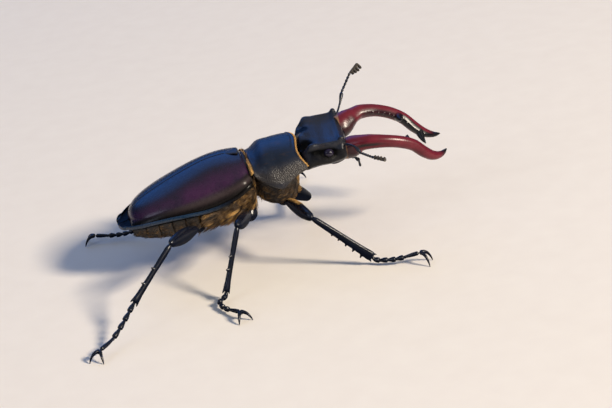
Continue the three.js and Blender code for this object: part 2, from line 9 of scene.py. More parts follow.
import bmesh
import bpy
import numpy as np
from mathutils import Matrix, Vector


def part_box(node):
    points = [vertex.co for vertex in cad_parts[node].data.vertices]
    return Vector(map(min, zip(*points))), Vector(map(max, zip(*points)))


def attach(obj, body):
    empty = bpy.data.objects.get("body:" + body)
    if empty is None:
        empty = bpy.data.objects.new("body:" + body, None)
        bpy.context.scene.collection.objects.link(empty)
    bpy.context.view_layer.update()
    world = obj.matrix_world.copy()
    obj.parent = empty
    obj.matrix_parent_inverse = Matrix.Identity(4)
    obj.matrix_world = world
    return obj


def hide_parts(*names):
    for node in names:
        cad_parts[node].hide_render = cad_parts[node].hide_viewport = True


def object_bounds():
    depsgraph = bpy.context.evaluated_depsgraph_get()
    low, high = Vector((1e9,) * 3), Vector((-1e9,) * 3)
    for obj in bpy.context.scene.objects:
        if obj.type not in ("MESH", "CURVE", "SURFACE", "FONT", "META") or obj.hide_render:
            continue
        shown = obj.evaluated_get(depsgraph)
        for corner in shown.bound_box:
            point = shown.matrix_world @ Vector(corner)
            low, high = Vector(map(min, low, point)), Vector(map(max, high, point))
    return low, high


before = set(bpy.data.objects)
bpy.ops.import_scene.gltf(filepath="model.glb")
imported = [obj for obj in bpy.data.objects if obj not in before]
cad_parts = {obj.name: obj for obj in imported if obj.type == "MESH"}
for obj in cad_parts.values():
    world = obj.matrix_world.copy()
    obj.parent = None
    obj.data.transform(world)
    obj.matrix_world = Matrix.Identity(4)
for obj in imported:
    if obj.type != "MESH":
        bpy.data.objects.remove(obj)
cad_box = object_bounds()

# ---------------------------------------------------------------- studio
# A pale matt table under soft lamps: a warm key in front and to the right, a broad cool one
# behind that lays a blue sheen on the black plates, and a faint one to the left, inside a tent
# that is white overhead and dusk blue at the level of the table.
MM = 0.001
PRONOTUM_REAR = 0.7               # from the waist to the pronotum's rearmost point
low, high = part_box("pronotum")
WAIST = np.array([low.x / MM - PRONOTUM_REAR, (low.y + high.y) / 2 / MM, 0.0])
IMAGE = (612, 408)
SENSOR = 36.0
CAMERA_ELEVATION, CAMERA_AZIMUTH, CAMERA_ROLL = 23, -8, 9
CAMERA_DISTANCE = 420
PIXELS_PER_MM = 4.55
AIM, AIM_PIXEL = (0, 0, 17.3), (246, 178)


def linear(code):
    """An sRGB hex colour as linear RGBA."""
    parts = [int(code[i:i + 2], 16) / 255 for i in (1, 3, 5)]
    return tuple(c / 12.92 if c < 0.04045 else ((c + 0.055) / 1.055) ** 2.4 for c in parts) + (1,)


def plug(node, sockets):
    """Gives a node's sockets their values, or links them to other nodes' outputs."""
    for key, value in sockets.items():
        if isinstance(value, bpy.types.NodeSocket):
            node.id_data.links.new(value, node.inputs[key])
        else:
            node.inputs[key].default_value = value


def add(tree, kind, sockets=(), **settings):
    """Adds a shader node with its settings and its sockets' values and links."""
    made = tree.nodes.new("ShaderNode" + kind)
    for key, value in settings.items():
        setattr(made, key, value)
    plug(made, dict(sockets))
    return made


def finish_of(name, sockets):
    """A new material, its node tree and its shader, which is given its own values."""
    made = bpy.data.materials.new(name)
    made.use_nodes = True
    shader = made.node_tree.nodes["Principled BSDF"]
    plug(shader, sockets)
    return made, made.node_tree, shader


def show(name, data):
    """A new object in the scene."""
    made = bpy.data.objects.new(name, data)
    bpy.context.scene.collection.objects.link(made)
    return made


def per_mm(size):
    """The texture scale that gives a pattern of this size in millimetres."""
    return 1 / (size * MM)


def clouded(tree, place, size, dark, light, detail=2):
    """A colour that drifts from dark to light in clouds of this size in millimetres."""
    cloud = add(tree, "TexNoise", {"Vector": place, "Scale": per_mm(size), "Detail": detail}).outputs["Fac"]
    return add(tree, "Mix", {"Factor": cloud, 6: linear(dark), 7: linear(light)}, data_type="RGBA").outputs[2]


def unit(v):
    """The same way, at a length of 1."""
    v = np.asarray(v, float)
    return v / np.linalg.norm(v, axis=-1, keepdims=True)


# Matt painted board: even, with a trace of roller texture.
table_paint, tree, shader = finish_of("matt_table_paint", {"Roughness": 0.85})
place = add(tree, "TexCoord").outputs["Object"]
plug(shader, {"Base Color": clouded(tree, place, 6, "#eae2d6", "#f0e9dd")})

TABLE_HALF = 2                    # metres
corners = [(x * TABLE_HALF, y * TABLE_HALF, 0) for x, y in ((-1, -1), (1, -1), (1, 1), (-1, 1))]
mesh = bpy.data.meshes.new("table")
mesh.from_pydata(corners, [], [(0, 1, 2, 3)])
table = show("table", mesh)
table.data.materials.append(table_paint)

# Each lamp is its place and width in metres, its watts and its colour.
LAMPS = {
    "key": [(1.26, -1.20, 1.08), 0.36, 62, "#fff1dd"],
    "sky": [(-0.30, 1.86, 1.32), 1.80, 12, "#4a90ff"],
    "fill": [(-1.80, -0.75, 1.20), 0.90, 7, "#dfe8ff"],
}
for name, (place, width, watts, colour) in LAMPS.items():
    lamp = bpy.data.lights.new(name, "AREA")
    lamp.size = width
    lamp.energy = watts
    lamp.color = linear(colour)[:3]
    holder = show(name, lamp)
    away = unit(place)
    side = unit(np.cross((0, 0, 1), away))
    holder.matrix_world = Matrix([
        [side[i], np.cross(away, side)[i], away[i], place[i]] for i in range(3)] + [[0, 0, 0, 1]])

world = bpy.data.worlds.new("studio")
world.use_nodes = True
tree = world.node_tree
height = add(tree, "SeparateXYZ", {0: add(tree, "TexCoord").outputs["Generated"]}).outputs["Z"]
climb = add(tree, "MapRange", {"Value": height, "From Min": 0.3, "From Max": 0.95}).outputs[0]
sky = add(tree, "Mix", {
    "Factor": climb, 6: linear("#3c5c8c"), 7: linear("#d5dff0")}, data_type="RGBA")
plug(tree.nodes["Background"], {"Color": sky.outputs[2], "Strength": 0.42})
bpy.context.scene.world = world
bpy.context.scene.view_settings.view_transform = "Standard"

rise, turn, roll = (math.radians(a) for a in (CAMERA_ELEVATION, CAMERA_AZIMUTH, CAMERA_ROLL))
back = np.array([math.sin(turn) * math.cos(rise), -math.cos(turn) * math.cos(rise), math.sin(rise)])
level = np.array([math.cos(turn), math.sin(turn), 0])
upright = np.cross(back, level)
right = level * math.cos(roll) - upright * math.sin(roll)
upward = upright * math.cos(roll) + level * math.sin(roll)
offset = [(AIM_PIXEL[0] - IMAGE[0] / 2) / PIXELS_PER_MM, (IMAGE[1] / 2 - AIM_PIXEL[1]) / PIXELS_PER_MM]
stand = WAIST + AIM - offset[0] * right - offset[1] * upward + CAMERA_DISTANCE * back
lens = bpy.data.cameras.new("camera")
lens.sensor_width = SENSOR
lens.lens = PIXELS_PER_MM * CAMERA_DISTANCE / IMAGE[0] * SENSOR
lens.clip_start = 0.01
camera = show("camera", lens)
camera.matrix_world = Matrix(
    [[right[i], upward[i], back[i], stand[i] * MM] for i in range(3)] + [[0, 0, 0, 1]])
bpy.context.scene.camera = camera

# ---------------------------------------------------------------- trunk
# The hindbody under the wing cases: one block of meso- and metathorax that carries the middle and
# hind legs, and an abdomen of five overlapping belly plates, all of black chitin. A collar joins
# it to the prothorax.
HINDBODY_PITCH = math.radians(8)
WAIST_HEIGHT = 16.6
ELYTRA_LENGTH = 29.6
# Rows are [station from waist to tip, half width, crown height, rim height].
ELYTRA = [
    [0.00, 8.7, 7.3, 1.9],
    [0.05, 9.7, 7.6, 1.5],
    [0.13, 10.4, 8.05, 0.8],
    [0.24, 10.7, 8.15, 0.3],
    [0.36, 10.8, 7.7, 0.3],
    [0.50, 10.5, 6.85, 0.7],
    [0.64, 9.8, 5.85, 1.0],
    [0.77, 8.5, 4.7, 0.9],
    [0.87, 6.8, 3.6, 0.55],
    [0.95, 4.5, 2.4, 0.2],
    [1.00, 1.9, 1.0, 0.0],
]
DOME_END = 0.915                  # where the wing cases' dome meets the rim's flat rear
# Rows are [station, half width, depth below the rim].
BELLY = [
    [0.00, 7.0, 5.0],
    [0.12, 8.8, 5.7],
    [0.30, 9.5, 5.8],
    [0.42, 9.7, 5.5],
    [0.60, 9.2, 5.0],
    [0.78, 7.7, 4.0],
    [0.90, 5.4, 2.7],
    [0.96, 3.6, 1.8],
]
THORAX = (0.015, 0.415)           # where the thorax block starts and ends, and then the abdomen
ABDOMEN = (0.43, 0.905)
PLATE_LENGTH = 0.096              # of each belly plate, as a share of the wing cases
ROOF_GAP = 1.8                    # from the outside of the wing cases to the roof of the trunk


def along(rows, t):
    """Smooth values between keyed stations, at each of the stations t."""
    rows = np.asarray(rows, float)
    t = np.asarray(t, float)
    keys, values = rows[:, 0], rows[:, 1:]
    before = np.clip(np.arange(len(keys)) - 1, 0, None)
    after = np.clip(np.arange(len(keys)) + 1, None, len(keys) - 1)
    slopes = (values[after] - values[before]) / (keys[after] - keys[before])[:, None]
    i = np.clip(np.searchsorted(keys, t, side="right") - 1, 0, len(keys) - 2)
    span = (keys[i + 1] - keys[i])[..., None]
    u = ((t - keys[i])[..., None]) / span
    start, end, leave, arrive = values[i], values[i + 1], slopes[i] * span, slopes[i + 1] * span
    bend = 2 * (start - end) + leave + arrive
    sag = 3 * (end - start) - 2 * leave - arrive
    return ((bend * u + sag) * u + leave) * u + start


def bump_at(x, middle, width):
    """A smooth bump of height 1."""
    return np.exp(-(((x - middle) / width) ** 2))


def smooth(x, start, end):
    """A smooth step from 0 to 1."""
    u = np.clip((x - start) / (end - start), 0, 1)
    return u * u * (3 - 2 * u)


def hind(s, y, h):
    """A place in the hindbody's own frame: s runs forward from the waist, h is above the rim."""
    s, y, h = np.broadcast_arrays(s, y, h)
    cos, sin = math.cos(HINDBODY_PITCH), math.sin(HINDBODY_PITCH)
    return np.stack([s * cos - h * sin, y, WAIST_HEIGHT + s * sin + h * cos], -1)


def loft(rings):
    """Points and faces of a closed skin through rings of equal count, its ends closed by fans."""
    rings = np.asarray(rings, float)
    rows, columns = rings.shape[:2]
    index = np.arange(rows * columns).reshape(rows, columns)
    beside = np.roll(index, -1, axis=1)
    faces = np.stack([index[:-1], beside[:-1], beside[1:], index[1:]], -1).reshape(-1, 4).tolist()
    for end, middle in ((0, rows * columns), (-1, rows * columns + 1)):
        faces += [[a, b, middle] for a, b in zip(index[end], beside[end])]
    return np.vstack([rings.reshape(-1, 3), rings[0].mean(0), rings[-1].mean(0)]), faces


def several(*parts):
    """Points and faces of several parts as one."""
    points, faces, count = [], [], 0
    for some_points, some_faces in parts:
        faces += [[i + count for i in face] for face in some_faces]
        points.append(some_points)
        count += len(some_points)
    return np.vstack(points), faces


def build(name, shape):
    """A smooth object from points and faces, still in millimetres."""
    points, faces = shape
    mesh = bpy.data.meshes.new(name)
    mesh.from_pydata(np.asarray(points).tolist(), [], faces)
    work = bmesh.new()
    work.from_mesh(mesh)
    bmesh.ops.remove_doubles(work, verts=work.verts, dist=1e-4)
    bmesh.ops.recalc_face_normals(work, faces=work.faces)
    work.to_mesh(mesh)
    work.free()
    mesh.shade_smooth()
    return show(name, mesh)


def places(piece):
    """The piece's points and their normals, as arrays."""
    points = np.empty(len(piece.data.vertices) * 3, np.float32)
    normals = np.empty(len(piece.data.vertices) * 3, np.float32)
    piece.data.vertices.foreach_get("co", points)
    piece.data.vertices.foreach_get("normal", normals)
    return points.reshape(-1, 3).astype(float), normals.reshape(-1, 3).astype(float)


def reshape(piece, points):
    """Moves the piece's points to new places."""
    piece.data.vertices.foreach_set("co", np.asarray(points, np.float32).ravel())
    piece.data.update()


def settle(piece, material, slot, *nodes):
    """Puts a finished piece into the frame's metres, in place of its CAD nodes."""
    points, _ = places(piece)
    reshape(piece, (points + WAIST) * MM)
    piece.data.materials.clear()
    piece.data.materials.append(material)
    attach(piece, "root")
    if nodes:
        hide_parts(*nodes)
    return piece


def dome_share(t):
    """How much of the wing cases' dome is left at a station, down to none at its end."""
    return math.sqrt(max(1 - (t / DOME_END) ** 24, 0))


def arch(reach, rise, count):
    """A domed arc from the middle line out to its foot."""
    angle = np.linspace(0, math.pi / 2, count)
    return np.stack([reach * np.sin(angle) ** 0.98, rise * np.cos(angle).clip(0) ** 0.95], -1)


def trunk_ring(t, scale):
    """One ring of the trunk: the inside of the wing cases above, the plates of the belly below."""
    width, crown, rim = along(ELYTRA, t)
    flank, depth = along(BELLY, t)
    under = min(rim - 0.35, 2.4)
    rise = max((crown - rim) * dome_share(t) - ROOF_GAP, 0.05)
    roof = arch(width - ROOF_GAP, rise, 12) + [0, rim - 0.1]
    angle = np.linspace(0, math.pi / 2, 40)
    y = flank * scale * np.cos(angle).clip(0) ** 0.8
    belly = np.stack([y, under - (depth * scale + under) * np.sin(angle) ** 0.85], -1)
    half = np.vstack([roof, belly])
    ring = np.vstack([half, (half * [-1, 1])[-2:0:-1]])
    return hind(-t * ELYTRA_LENGTH, ring[:, 0], ring[:, 1])


def pitted(tree, place, apart, strength, depth):
    """The relief of pits set this far apart and this deep, in millimetres."""
    pits = add(tree, "TexVoronoi", {"Vector": place, "Scale": per_mm(apart)}).outputs["Distance"]
    return add(tree, "Bump", {"Height": pits, "Strength": strength, "Distance": depth * MM}).outputs["Normal"]


# Black belly chitin, dull under a felt of short hair: brown-black, finely pitted, a soft sheen.
# Real pits are 0.08 mm apart; they are drawn at 0.25 mm so that they show.
belly_chitin, tree, shader = finish_of("felted_belly_chitin", {"IOR": 1.5, "Roughness": 0.55})
place = add(tree, "TexCoord").outputs["Object"]
tone = clouded(tree, place, 1.4, "#0e0c0b", "#1d140d", detail=4)
plug(shader, {"Base Color": tone, "Normal": pitted(tree, place, 0.25, 0.5, 0.05)})

stations = np.concatenate([np.linspace(THORAX[0], 0.05, 8)[:-1], np.linspace(0.05, THORAX[1], 60)])
swell = 0.965 + 0.035 * smooth(stations, THORAX[0], 0.06)
block = build("thorax_underside", loft([trunk_ring(t, k) for t, k in zip(stations, swell)]))
points, normals = places(block)
middle_groove = 0.35 * bump_at(points[:, 1], 0, 0.35) * smooth(-points[:, 0], 2, 4)
hip_furrow = 0.5 * bump_at(points[:, 0] + 0.12 * np.abs(points[:, 1]), -10.2, 0.5)
below = smooth(-normals[:, 2], 0.2, 0.7)
reshape(block, points - normals * ((middle_groove + hip_furrow) * below)[:, None])

# The collar: it fills the wing cases' mouth, then narrows and plugs into the prothorax.
COLLAR_REAR, COLLAR_LENGTH, COLLAR_MIDDLE = -2, 5, 17.4
# Rows are [station, half height, half width].
COLLAR = [[0, 5.4, 7.9], [0.3, 5.4, 7.9], [0.5, 5.4, 7.9], [0.6, 3.7, 6.6], [1, 3.1, 5.4]]
ring_angle = np.linspace(0, 2 * math.pi, 64, endpoint=False)
rings = []
for t in np.linspace(0, 1, 50):
    tall, wide = along(COLLAR, t)
    x = np.full(64, COLLAR_REAR + COLLAR_LENGTH * t)
    height = COLLAR_MIDDLE - 0.2 * t + tall * np.cos(ring_angle)
    rings.append(np.stack([x, wide * np.sin(ring_angle), height], -1))
neck = build("waist_collar", loft(rings))

stations = np.linspace(*ABDOMEN, 150)
within = ((stations - ABDOMEN[0]) / PLATE_LENGTH) % 1
step = 0.962 + 0.048 * smooth(within, 0, 0.12) * (1 - smooth(within, 0.93, 1.0))
abdomen = build("belly_plates", loft([trunk_ring(t, k) for t, k in zip(stations, step)]))
settle(block, belly_chitin, "belly_plate", "metathorax")
settle(neck, belly_chitin, "belly_plate")
settle(abdomen, belly_chitin, "belly_plate", "abdomen")

# ---------------------------------------------------------------- wing cases
# Two hard domed shells of chitin that close along the back over the folded wings, each with a flat
# gutter and an upturned bead along its side. The small scutellum locks them together at the base.
SEAM = 0.03                       # half the gap between the closed wing cases
SHELL = 0.75                      # thickness of a shell
RIM_HALF = (0.24, 0.42)           # half width and half height of the upturned edge
GUTTER_FLOOR = 0.34               # above the rim line
ROUND_FROM, ROUND_TO = 0.955, 1.006
LIP = 0.012                       # length of the rounded front edge, as a share of the whole


def wing_row(t):
    """Half width, crown and rim, drawn in to a round end behind the last keyed station."""
    row = along(ELYTRA, min(t, ROUND_FROM))
    closing = 1 - ((t - ROUND_FROM) / (ROUND_TO - ROUND_FROM)) ** 2 if t > ROUND_FROM else 1
    share = math.sqrt(max(closing, 0.0))
    width, crown, rim = row
    return width * share + 0.3 * (1 - share), rim + (crown - rim) * share ** 1.2, rim


def wing_outline(t):
    """Outer and inner lines of one shell's section, from the seam out to the upturned edge."""
    width, crown, rim = wing_row(t)
    closing = dome_share(t)
    gutter = min(0.45 + 0.35 * smooth(t, 0.05, 0.3) + 0.3 * smooth(t, 0.3, 0.85), width * 0.4)
    reach = (width - gutter - SEAM) * closing
    floor = rim + GUTTER_FLOOR
    side, top = arch(reach, (crown - floor) * closing, 64).T + [[SEAM], [floor]]
    top -= 0.05 * closing * bump_at(side, SEAM, 0.1)
    foot = np.linspace(0, 1, 13)[1:]
    edge_wide, edge_tall = min(RIM_HALF[0], width / 2), RIM_HALF[1]
    dish_side = SEAM + reach + (width - 2 * edge_wide - SEAM - reach) * foot
    dish_top = floor - 0.08 * np.sin(foot * math.pi) + 0.12 * foot ** 3
    around = np.radians(np.linspace(170, -80, 16))
    edge_side = width + edge_wide * (np.cos(around) - 1)
    edge_top = rim + edge_tall * (1 + np.sin(around))
    outer = np.stack([np.concatenate([side, dish_side, edge_side]),
                      np.concatenate([top, dish_top, edge_top])], -1)
    skin = min(SHELL, width * 0.3)
    angle = np.linspace(0, 1, len(outer)) ** 0.8 * math.pi / 2
    inner_side = SEAM + (width - min(0.5, width / 2) - SEAM) * np.sin(angle)
    hollow = max(crown - 0.25 - skin - rim, 0) * closing
    return outer, np.stack([inner_side, rim + 0.1 + hollow * np.cos(angle).clip(0) ** 0.9], -1)


def mark(piece, name, values):
    """Stores a value from 0 to 1 at each point, or one for all, for the material to read."""
    layer = piece.data.attributes.new(name, "FLOAT", "POINT")
    layer.data.foreach_set("value", np.full(len(piece.data.vertices), values, np.float32))


def wing_case(name, s):
    """One wing case with its marks, the left one for s = 1 and the right one for s = -1."""
    rings = []
    for u in np.linspace(0, 1, 220):
        t = math.sin(u * math.pi / 2) ** 1.25 * (ROUND_TO - 0.0006)
        outer, inner = wing_outline(t)
        lip = math.sqrt(max(1 - (1 - min(t / LIP, 1)) ** 2, 0))
        outer = inner + (outer - inner) * (0.25 + 0.75 * lip)
        ring = np.vstack([outer, inner[::-1]])
        forward = 0.55 * (1 - min(t, 1)) ** 8 - t * ELYTRA_LENGTH
        rings.append(hind(forward, s * ring[:, 0], ring[:, 1]))
    case = build(name, loft(rings))
    points, normals = places(case)
    # The humeral bump at the shoulder.
    distance = np.linalg.norm((points - hind(-1.5, s * 8.7, 3.0)) * [0.6, 1, 1], axis=1)
    reshape(case, points + normals * (0.4 * np.exp(-(distance / 1.3) ** 2))[:, None])
    # The rim and gutter are black. The flank where it turns under behind the shoulder, and the flat round the
    # tail, are painted black as shade.
    reach = np.clip(-points[:, 0] / ELYTRA_LENGTH, 0, 1)
    _, crown, rim = along(ELYTRA, reach).T
    border = along(ELYTRA, np.linspace(0, 1, 240))[:, 0]
    border = np.append(np.stack([np.linspace(0, -ELYTRA_LENGTH, 240), border], -1), [[-ELYTRA_LENGTH, 0]], 0)
    inside = np.full(len(points), 9.0)
    for x, y in border:
        inside = np.minimum(inside, np.hypot(points[:, 0] - x, np.abs(points[:, 1]) - y))
    height = points[:, 2] - hind(-reach * ELYTRA_LENGTH, 0, rim)[:, 2]
    under = 0.8 * (1 - smooth(height, 0.5, 2.0)) * (1 - smooth(reach, 0.2, 0.7)) * smooth(reach, 0.02, 0.1)
    flat = smooth(reach, 0.85, 0.9) * (1 - smooth(height, 0.3, 0.7))
    black = np.maximum.reduce([1 - smooth(inside, 0.9, 1.7), under, flat])
    # The bead is painted steel blue as a painted reflection.
    bead = (1 - smooth(inside, 0.22, 0.42)) * smooth(reach, 0.1, 0.5)
    mark(case, "black_and_painted_shade", black.clip(0, 1) * (1 - bead))
    mark(case, "bead", bead)
    mark(case, "sunken", flat * (1 - bead))
    mark(case, "polished", np.exp(-(distance / 1.8) ** 2))
    # The plum is painted only in a band part way down the side, as the light shows it, and is left out above
    # and below.
    share = height / (crown - rim).clip(1)
    mark(case, "plum_lit_band", smooth(share, 0.15, 0.6) * (1 - smooth(share, 0.62, 1.0)))
    # A band of sheen is painted along the lower flank, strongest towards the front.
    mark(case, "painted_sheen_band", 0.8 * bump_at(share, 0.34, 0.1) * (1 - smooth(reach, 0.4, 0.8)))
    return case


# Wing case chitin, polished by nature: near black, with a black rim and gutter. Its deep plum is
# painted only in a band down each side, as the light shows it, and left out above and below; below
# that band lies a painted band of sheen. A painted steel-blue reflection runs along the bead, and
# painted black shade lies under the shoulders and round the tail, under a satin gloss that is
# brightest on the shoulders and lost in the hollow round the tail.
wing_chitin, tree, shader = finish_of("polished_plum_chitin", {"IOR": 1.5})
place = add(tree, "TexCoord").outputs["Object"]
cloud = add(tree, "TexNoise", {"Vector": place, "Scale": per_mm(7), "Detail": 5, "Roughness": 0.6})
glow = add(tree, "MapRange", {"Value": cloud.outputs["Fac"], "From Min": 0.3, "From Max": 0.65})
plum_lit_band = add(tree, "Mix", {
    "Factor": glow.outputs[0], 6: linear("#180d20"), 7: linear("#361436")}, data_type="RGBA")
colour = linear("#0b0a14")
# Over the near black: the plum band, the black and painted shade, the painted band of sheen and the painted
# blue reflection on the bead.
for name, code in (("plum_lit_band", None), ("black_and_painted_shade", "#0a0807"), ("painted_sheen_band", "#3a3132"), ("bead", "#122940")):
    share = add(tree, "Attribute", attribute_name=name).outputs["Fac"]
    over = linear(code) if code else plum_lit_band.outputs[2]
    colour = add(tree, "Mix", {"Factor": share, 6: colour, 7: over}, data_type="RGBA").outputs[2]
edges = add(tree, "Attribute", attribute_name="black_and_painted_shade").outputs["Fac"]
shine = add(tree, "MapRange", {"Value": edges, "To Min": 0.5, "To Max": 0.15})
sunken = add(tree, "Attribute", attribute_name="sunken").outputs["Fac"]
shaded = add(tree, "MapRange", {"Value": sunken, "To Min": 1.0, "To Max": 0.12})
gloss = add(tree, "Math", {0: shine.outputs[0], 1: shaded.outputs[0]}, operation="MULTIPLY")
wear = add(tree, "TexNoise", {"Vector": place, "Scale": per_mm(0.8), "Detail": 6}).outputs["Fac"]
dull = add(tree, "MapRange", {
    "Value": wear, "From Min": 0.35, "From Max": 0.7, "To Min": 0.23, "To Max": 0.36})
polished = add(tree, "Attribute", attribute_name="polished").outputs["Fac"]
buffed = add(tree, "MapRange", {"Value": polished, "To Min": 1.0, "To Max": 0.78})
rough = add(tree, "Math", {0: dull.outputs[0], 1: buffed.outputs[0]}, operation="MULTIPLY")
# The real pits are 0.05 mm apart; they are drawn at 0.2 mm so that they show.
plug(shader, {
    "Base Color": colour, "Specular IOR Level": gloss.outputs[0],
    "Roughness": rough.outputs[0], "Normal": pitted(tree, place, 0.2, 0.16, 0.03)})

cases = [wing_case("wing_case_left", 1), wing_case("wing_case_right", -1)]
for case, node in zip(cases, ("elytron_left", "elytron_right")):
    settle(case, wing_chitin, "plum_wing_case", node)

# Black body chitin: satin, with a navy tint painted in as a blue sheen and faint brown smears,
# grained like leather down the sides, where the grain catches light as grey specks, and painted in
# near-black shade in its hollows.
black_chitin, tree, shader = finish_of("satin_black_chitin", {"IOR": 1.5})
place = add(tree, "TexCoord").outputs["Object"]
# A navy tint is painted into the black as a blue sheen.
navy_painted_sheen = clouded(tree, place, 3, "#03070f", "#0c1a30", detail=5)
drawn = add(tree, "Mapping", {"Vector": place, "Scale": (0.35, 1, 1)})
smear = add(tree, "TexNoise", {
    "Vector": drawn.outputs["Vector"], "Scale": per_mm(0.7), "Detail": 6}).outputs["Fac"]
smeared = add(tree, "MapRange", {
    "Value": smear, "From Min": 0.54, "From Max": 0.75, "To Max": 0.6})
tone = add(tree, "Mix", {
    "Factor": smeared.outputs[0], 6: navy_painted_sheen, 7: linear("#2e211c")}, data_type="RGBA")
flank = add(tree, "Attribute", attribute_name="granulation").outputs["Fac"]
dust = add(tree, "Mix", {
    "Factor": flank, 6: tone.outputs[2], 7: linear("#2b2725")}, data_type="RGBA")
# The hollow mark paints shade: near black, with the gloss taken down.
hollow = add(tree, "Attribute", attribute_name="hollow").outputs["Fac"]
painted_shade = add(tree, "Mix", {
    "Factor": hollow, 6: dust.outputs[2], 7: linear("#020202")}, data_type="RGBA")
shine = add(tree, "MapRange", {"Value": hollow, "To Min": 0.5, "To Max": 0.06})
dull = add(tree, "MapRange", {"Value": flank, "To Min": 0.34, "To Max": 0.42})
coarse = add(tree, "MapRange", {"Value": flank, "To Min": 0.18, "To Max": 1.0})
# Real granules are 0.1 mm apart; they are drawn at 0.26 mm so that they show.
plug(shader, {
    "Base Color": painted_shade.outputs[2], "Specular IOR Level": shine.outputs[0],
    "Roughness": dull.outputs[0], "Normal": pitted(tree, place, 0.26, coarse.outputs[0], 0.12)})

# The scutellum: a small tongue of black shell set into the front of the seam.
rings = []
for u in np.linspace(0, 1, 24):
    wide = (1.9 + (0.3 - 1.9) * u ** 1.4) * math.sqrt(1 - (2 * u - 1) ** 8 * 0.98)
    top = along(ELYTRA, 0.04)[1] + 0.3 + 0.15 * math.sin(u * math.pi)
    edge = np.linspace(0, 2 * math.pi, 32, endpoint=False)
    rings.append(hind(0.2 - 3.2 * u, wide * np.cos(edge), top - 0.25 + 0.28 * np.sin(edge)))
shield = build("scutellum_shield", loft(rings))
mark(shield, "granulation", 0.3)
settle(shield, black_chitin, "black_shell", "scutellum")

# ---------------------------------------------------------------- prothorax
# The pronotum is one saddle of black chitin with a fine raised edge all round, smooth on top and
# grained down the sides. The prosternum closes it below and holds the front legs.
PRONOTUM_BACK = 0.7
PRONOTUM_FRONT = 11.9
# Rows are [station from base to front, half width, rim height, crown height].
PRONOTUM = [
    [0.00, 7.6, 20.8, 22.4],
    [0.12, 8.3, 19.3, 23.0],
    [0.30, 9.7, 18.2, 24.5],
    [0.44, 10.3, 17.4, 24.8],
    [0.52, 10.3, 17.5, 24.8],
    [0.62, 10.1, 18.4, 24.85],
    [0.78, 9.7, 19.5, 24.85],
    [1.00, 9.2, 20.4, 24.8],
]
# Rows are [station along x, half width, roof height, floor height].
PROSTERNUM = [
    [1.2, 6.6, 20.0, 13.8],
    [3.2, 8.0, 18.6, 12.0],
    [5.6, 9.2, 17.9, 11.2],
    [8.0, 9.1, 19.1, 11.0],
    [9.6, 8.6, 19.8, 11.7],
    [10.8, 7.8, 20.2, 13.9],
]


def pronotum_line(u, v, lift, drop):
    """Places across the pronotum at station u, with v running from side to side."""
    width, rim, crown = along(PRONOTUM, u)
    back_edge = PRONOTUM_BACK + 0.1 * v ** 2
    front_edge = PRONOTUM_FRONT - 3.8 * v ** 2 + 4.6 * v ** 4
    vault = (1 - np.abs(v) ** 2.2).clip(0) ** 0.62
    across = v * width
    # Distances from the edges, which carry the bead and the groove inside it.
    edges = [(1 - np.abs(v)) * width * 1.5, u * (front_edge - back_edge), (1 - u) * (front_edge - back_edge)]
    bead = sum(0.12 * bump_at(d, 0.22, 0.16) - 0.06 * bump_at(d, 0.7, 0.28) for d in edges)
    roll_down = sum(0.5 * np.exp(-d / 0.1) for d in edges[1:])
    line = 0.07 * bump_at(across, 0, 0.3) * smooth(u, 0.1, 0.2) * (1 - smooth(u, 0.8, 0.92))
    dimple = 0.22 * bump_at(np.abs(v), 0.66, 0.1) * bump_at(u, 0.42, 0.13)
    height = rim + lift * (crown - rim) * vault + drop
    if lift == 1:
        height = height + bead - roll_down - line - dimple
    x = back_edge + (front_edge - back_edge) * u
    return np.stack([x, across, height], -1)


rings = []
for u in (np.cos(np.linspace(math.pi, 0, 120)) * 0.5 + 0.5):
    over = pronotum_line(u, np.sin(np.linspace(-0.5, 0.5, 150) * math.pi), 1, 0)
    under = pronotum_line(u, np.sin(np.linspace(0.5, -0.5, 30) * math.pi) * 0.985, 0.25, -0.5)
    rings.append(np.vstack([over, under]))
saddle = build("pronotum_saddle", loft(rings))
points, normals = places(saddle)
# Grain down the sides; it fades along the lowest edge, which is so painted darker, as shade.
grainy = smooth(22.6 - points[:, 2] + 0.15 * (points[:, 0] - 6), 0, 2.4)
mark(saddle, "granulation", grainy * (1 - 0.6 * smooth(19.2 - points[:, 2], 0, 1.2)))
# The rolled back edge is painted in shade, near black, with its gloss taken down.
mark(saddle, "hollow", 0.9 * (1 - smooth(points[:, 0], 0.8, 1.3)))

rings = []
arc = np.linspace(0, math.pi, 60)[1:-1]
for x in np.linspace(1.2, 10.8, 50):
    width, roof, base = along(PROSTERNUM, x)
    tuck = 1 - 0.12 * bump_at(x, 1.2, 0.5) - 0.12 * bump_at(x, 10.8, 0.5)
    under = np.stack([width * tuck * np.cos(arc), roof - (roof - base) * tuck * np.sin(arc) ** 0.8], -1)
    ring = np.vstack([[[-width * tuck, roof], [0, roof], [width * tuck, roof]], under])
    rings.append(np.column_stack([np.full(len(ring), x), ring]))
breast = build("prosternum_plate", loft(rings))
points, normals = places(breast)
keel = 0.5 * bump_at(points[:, 1], 0, 0.7) * smooth(-normals[:, 2], 0.3, 0.8) * smooth(points[:, 0], 2, 6)
reshape(breast, points + normals * keel[:, None])
settle(saddle, black_chitin, "black_shell", "pronotum")
settle(breast, belly_chitin, "belly_plate", "prosternum")

# ---------------------------------------------------------------- head
# A broad box of black chitin, hollowed on top between two side ridges, with deep pits behind the
# ridges' corners and a bar of shell that runs into each eye. It turns in the prothorax's mouth.
HEAD_BACK, HEAD_FRONT = 11.7, 23.2
NECK = np.array([12.0, 0, 21.0])
HEAD_TURN, HEAD_TIP = math.radians(-5.5), math.radians(3.5)
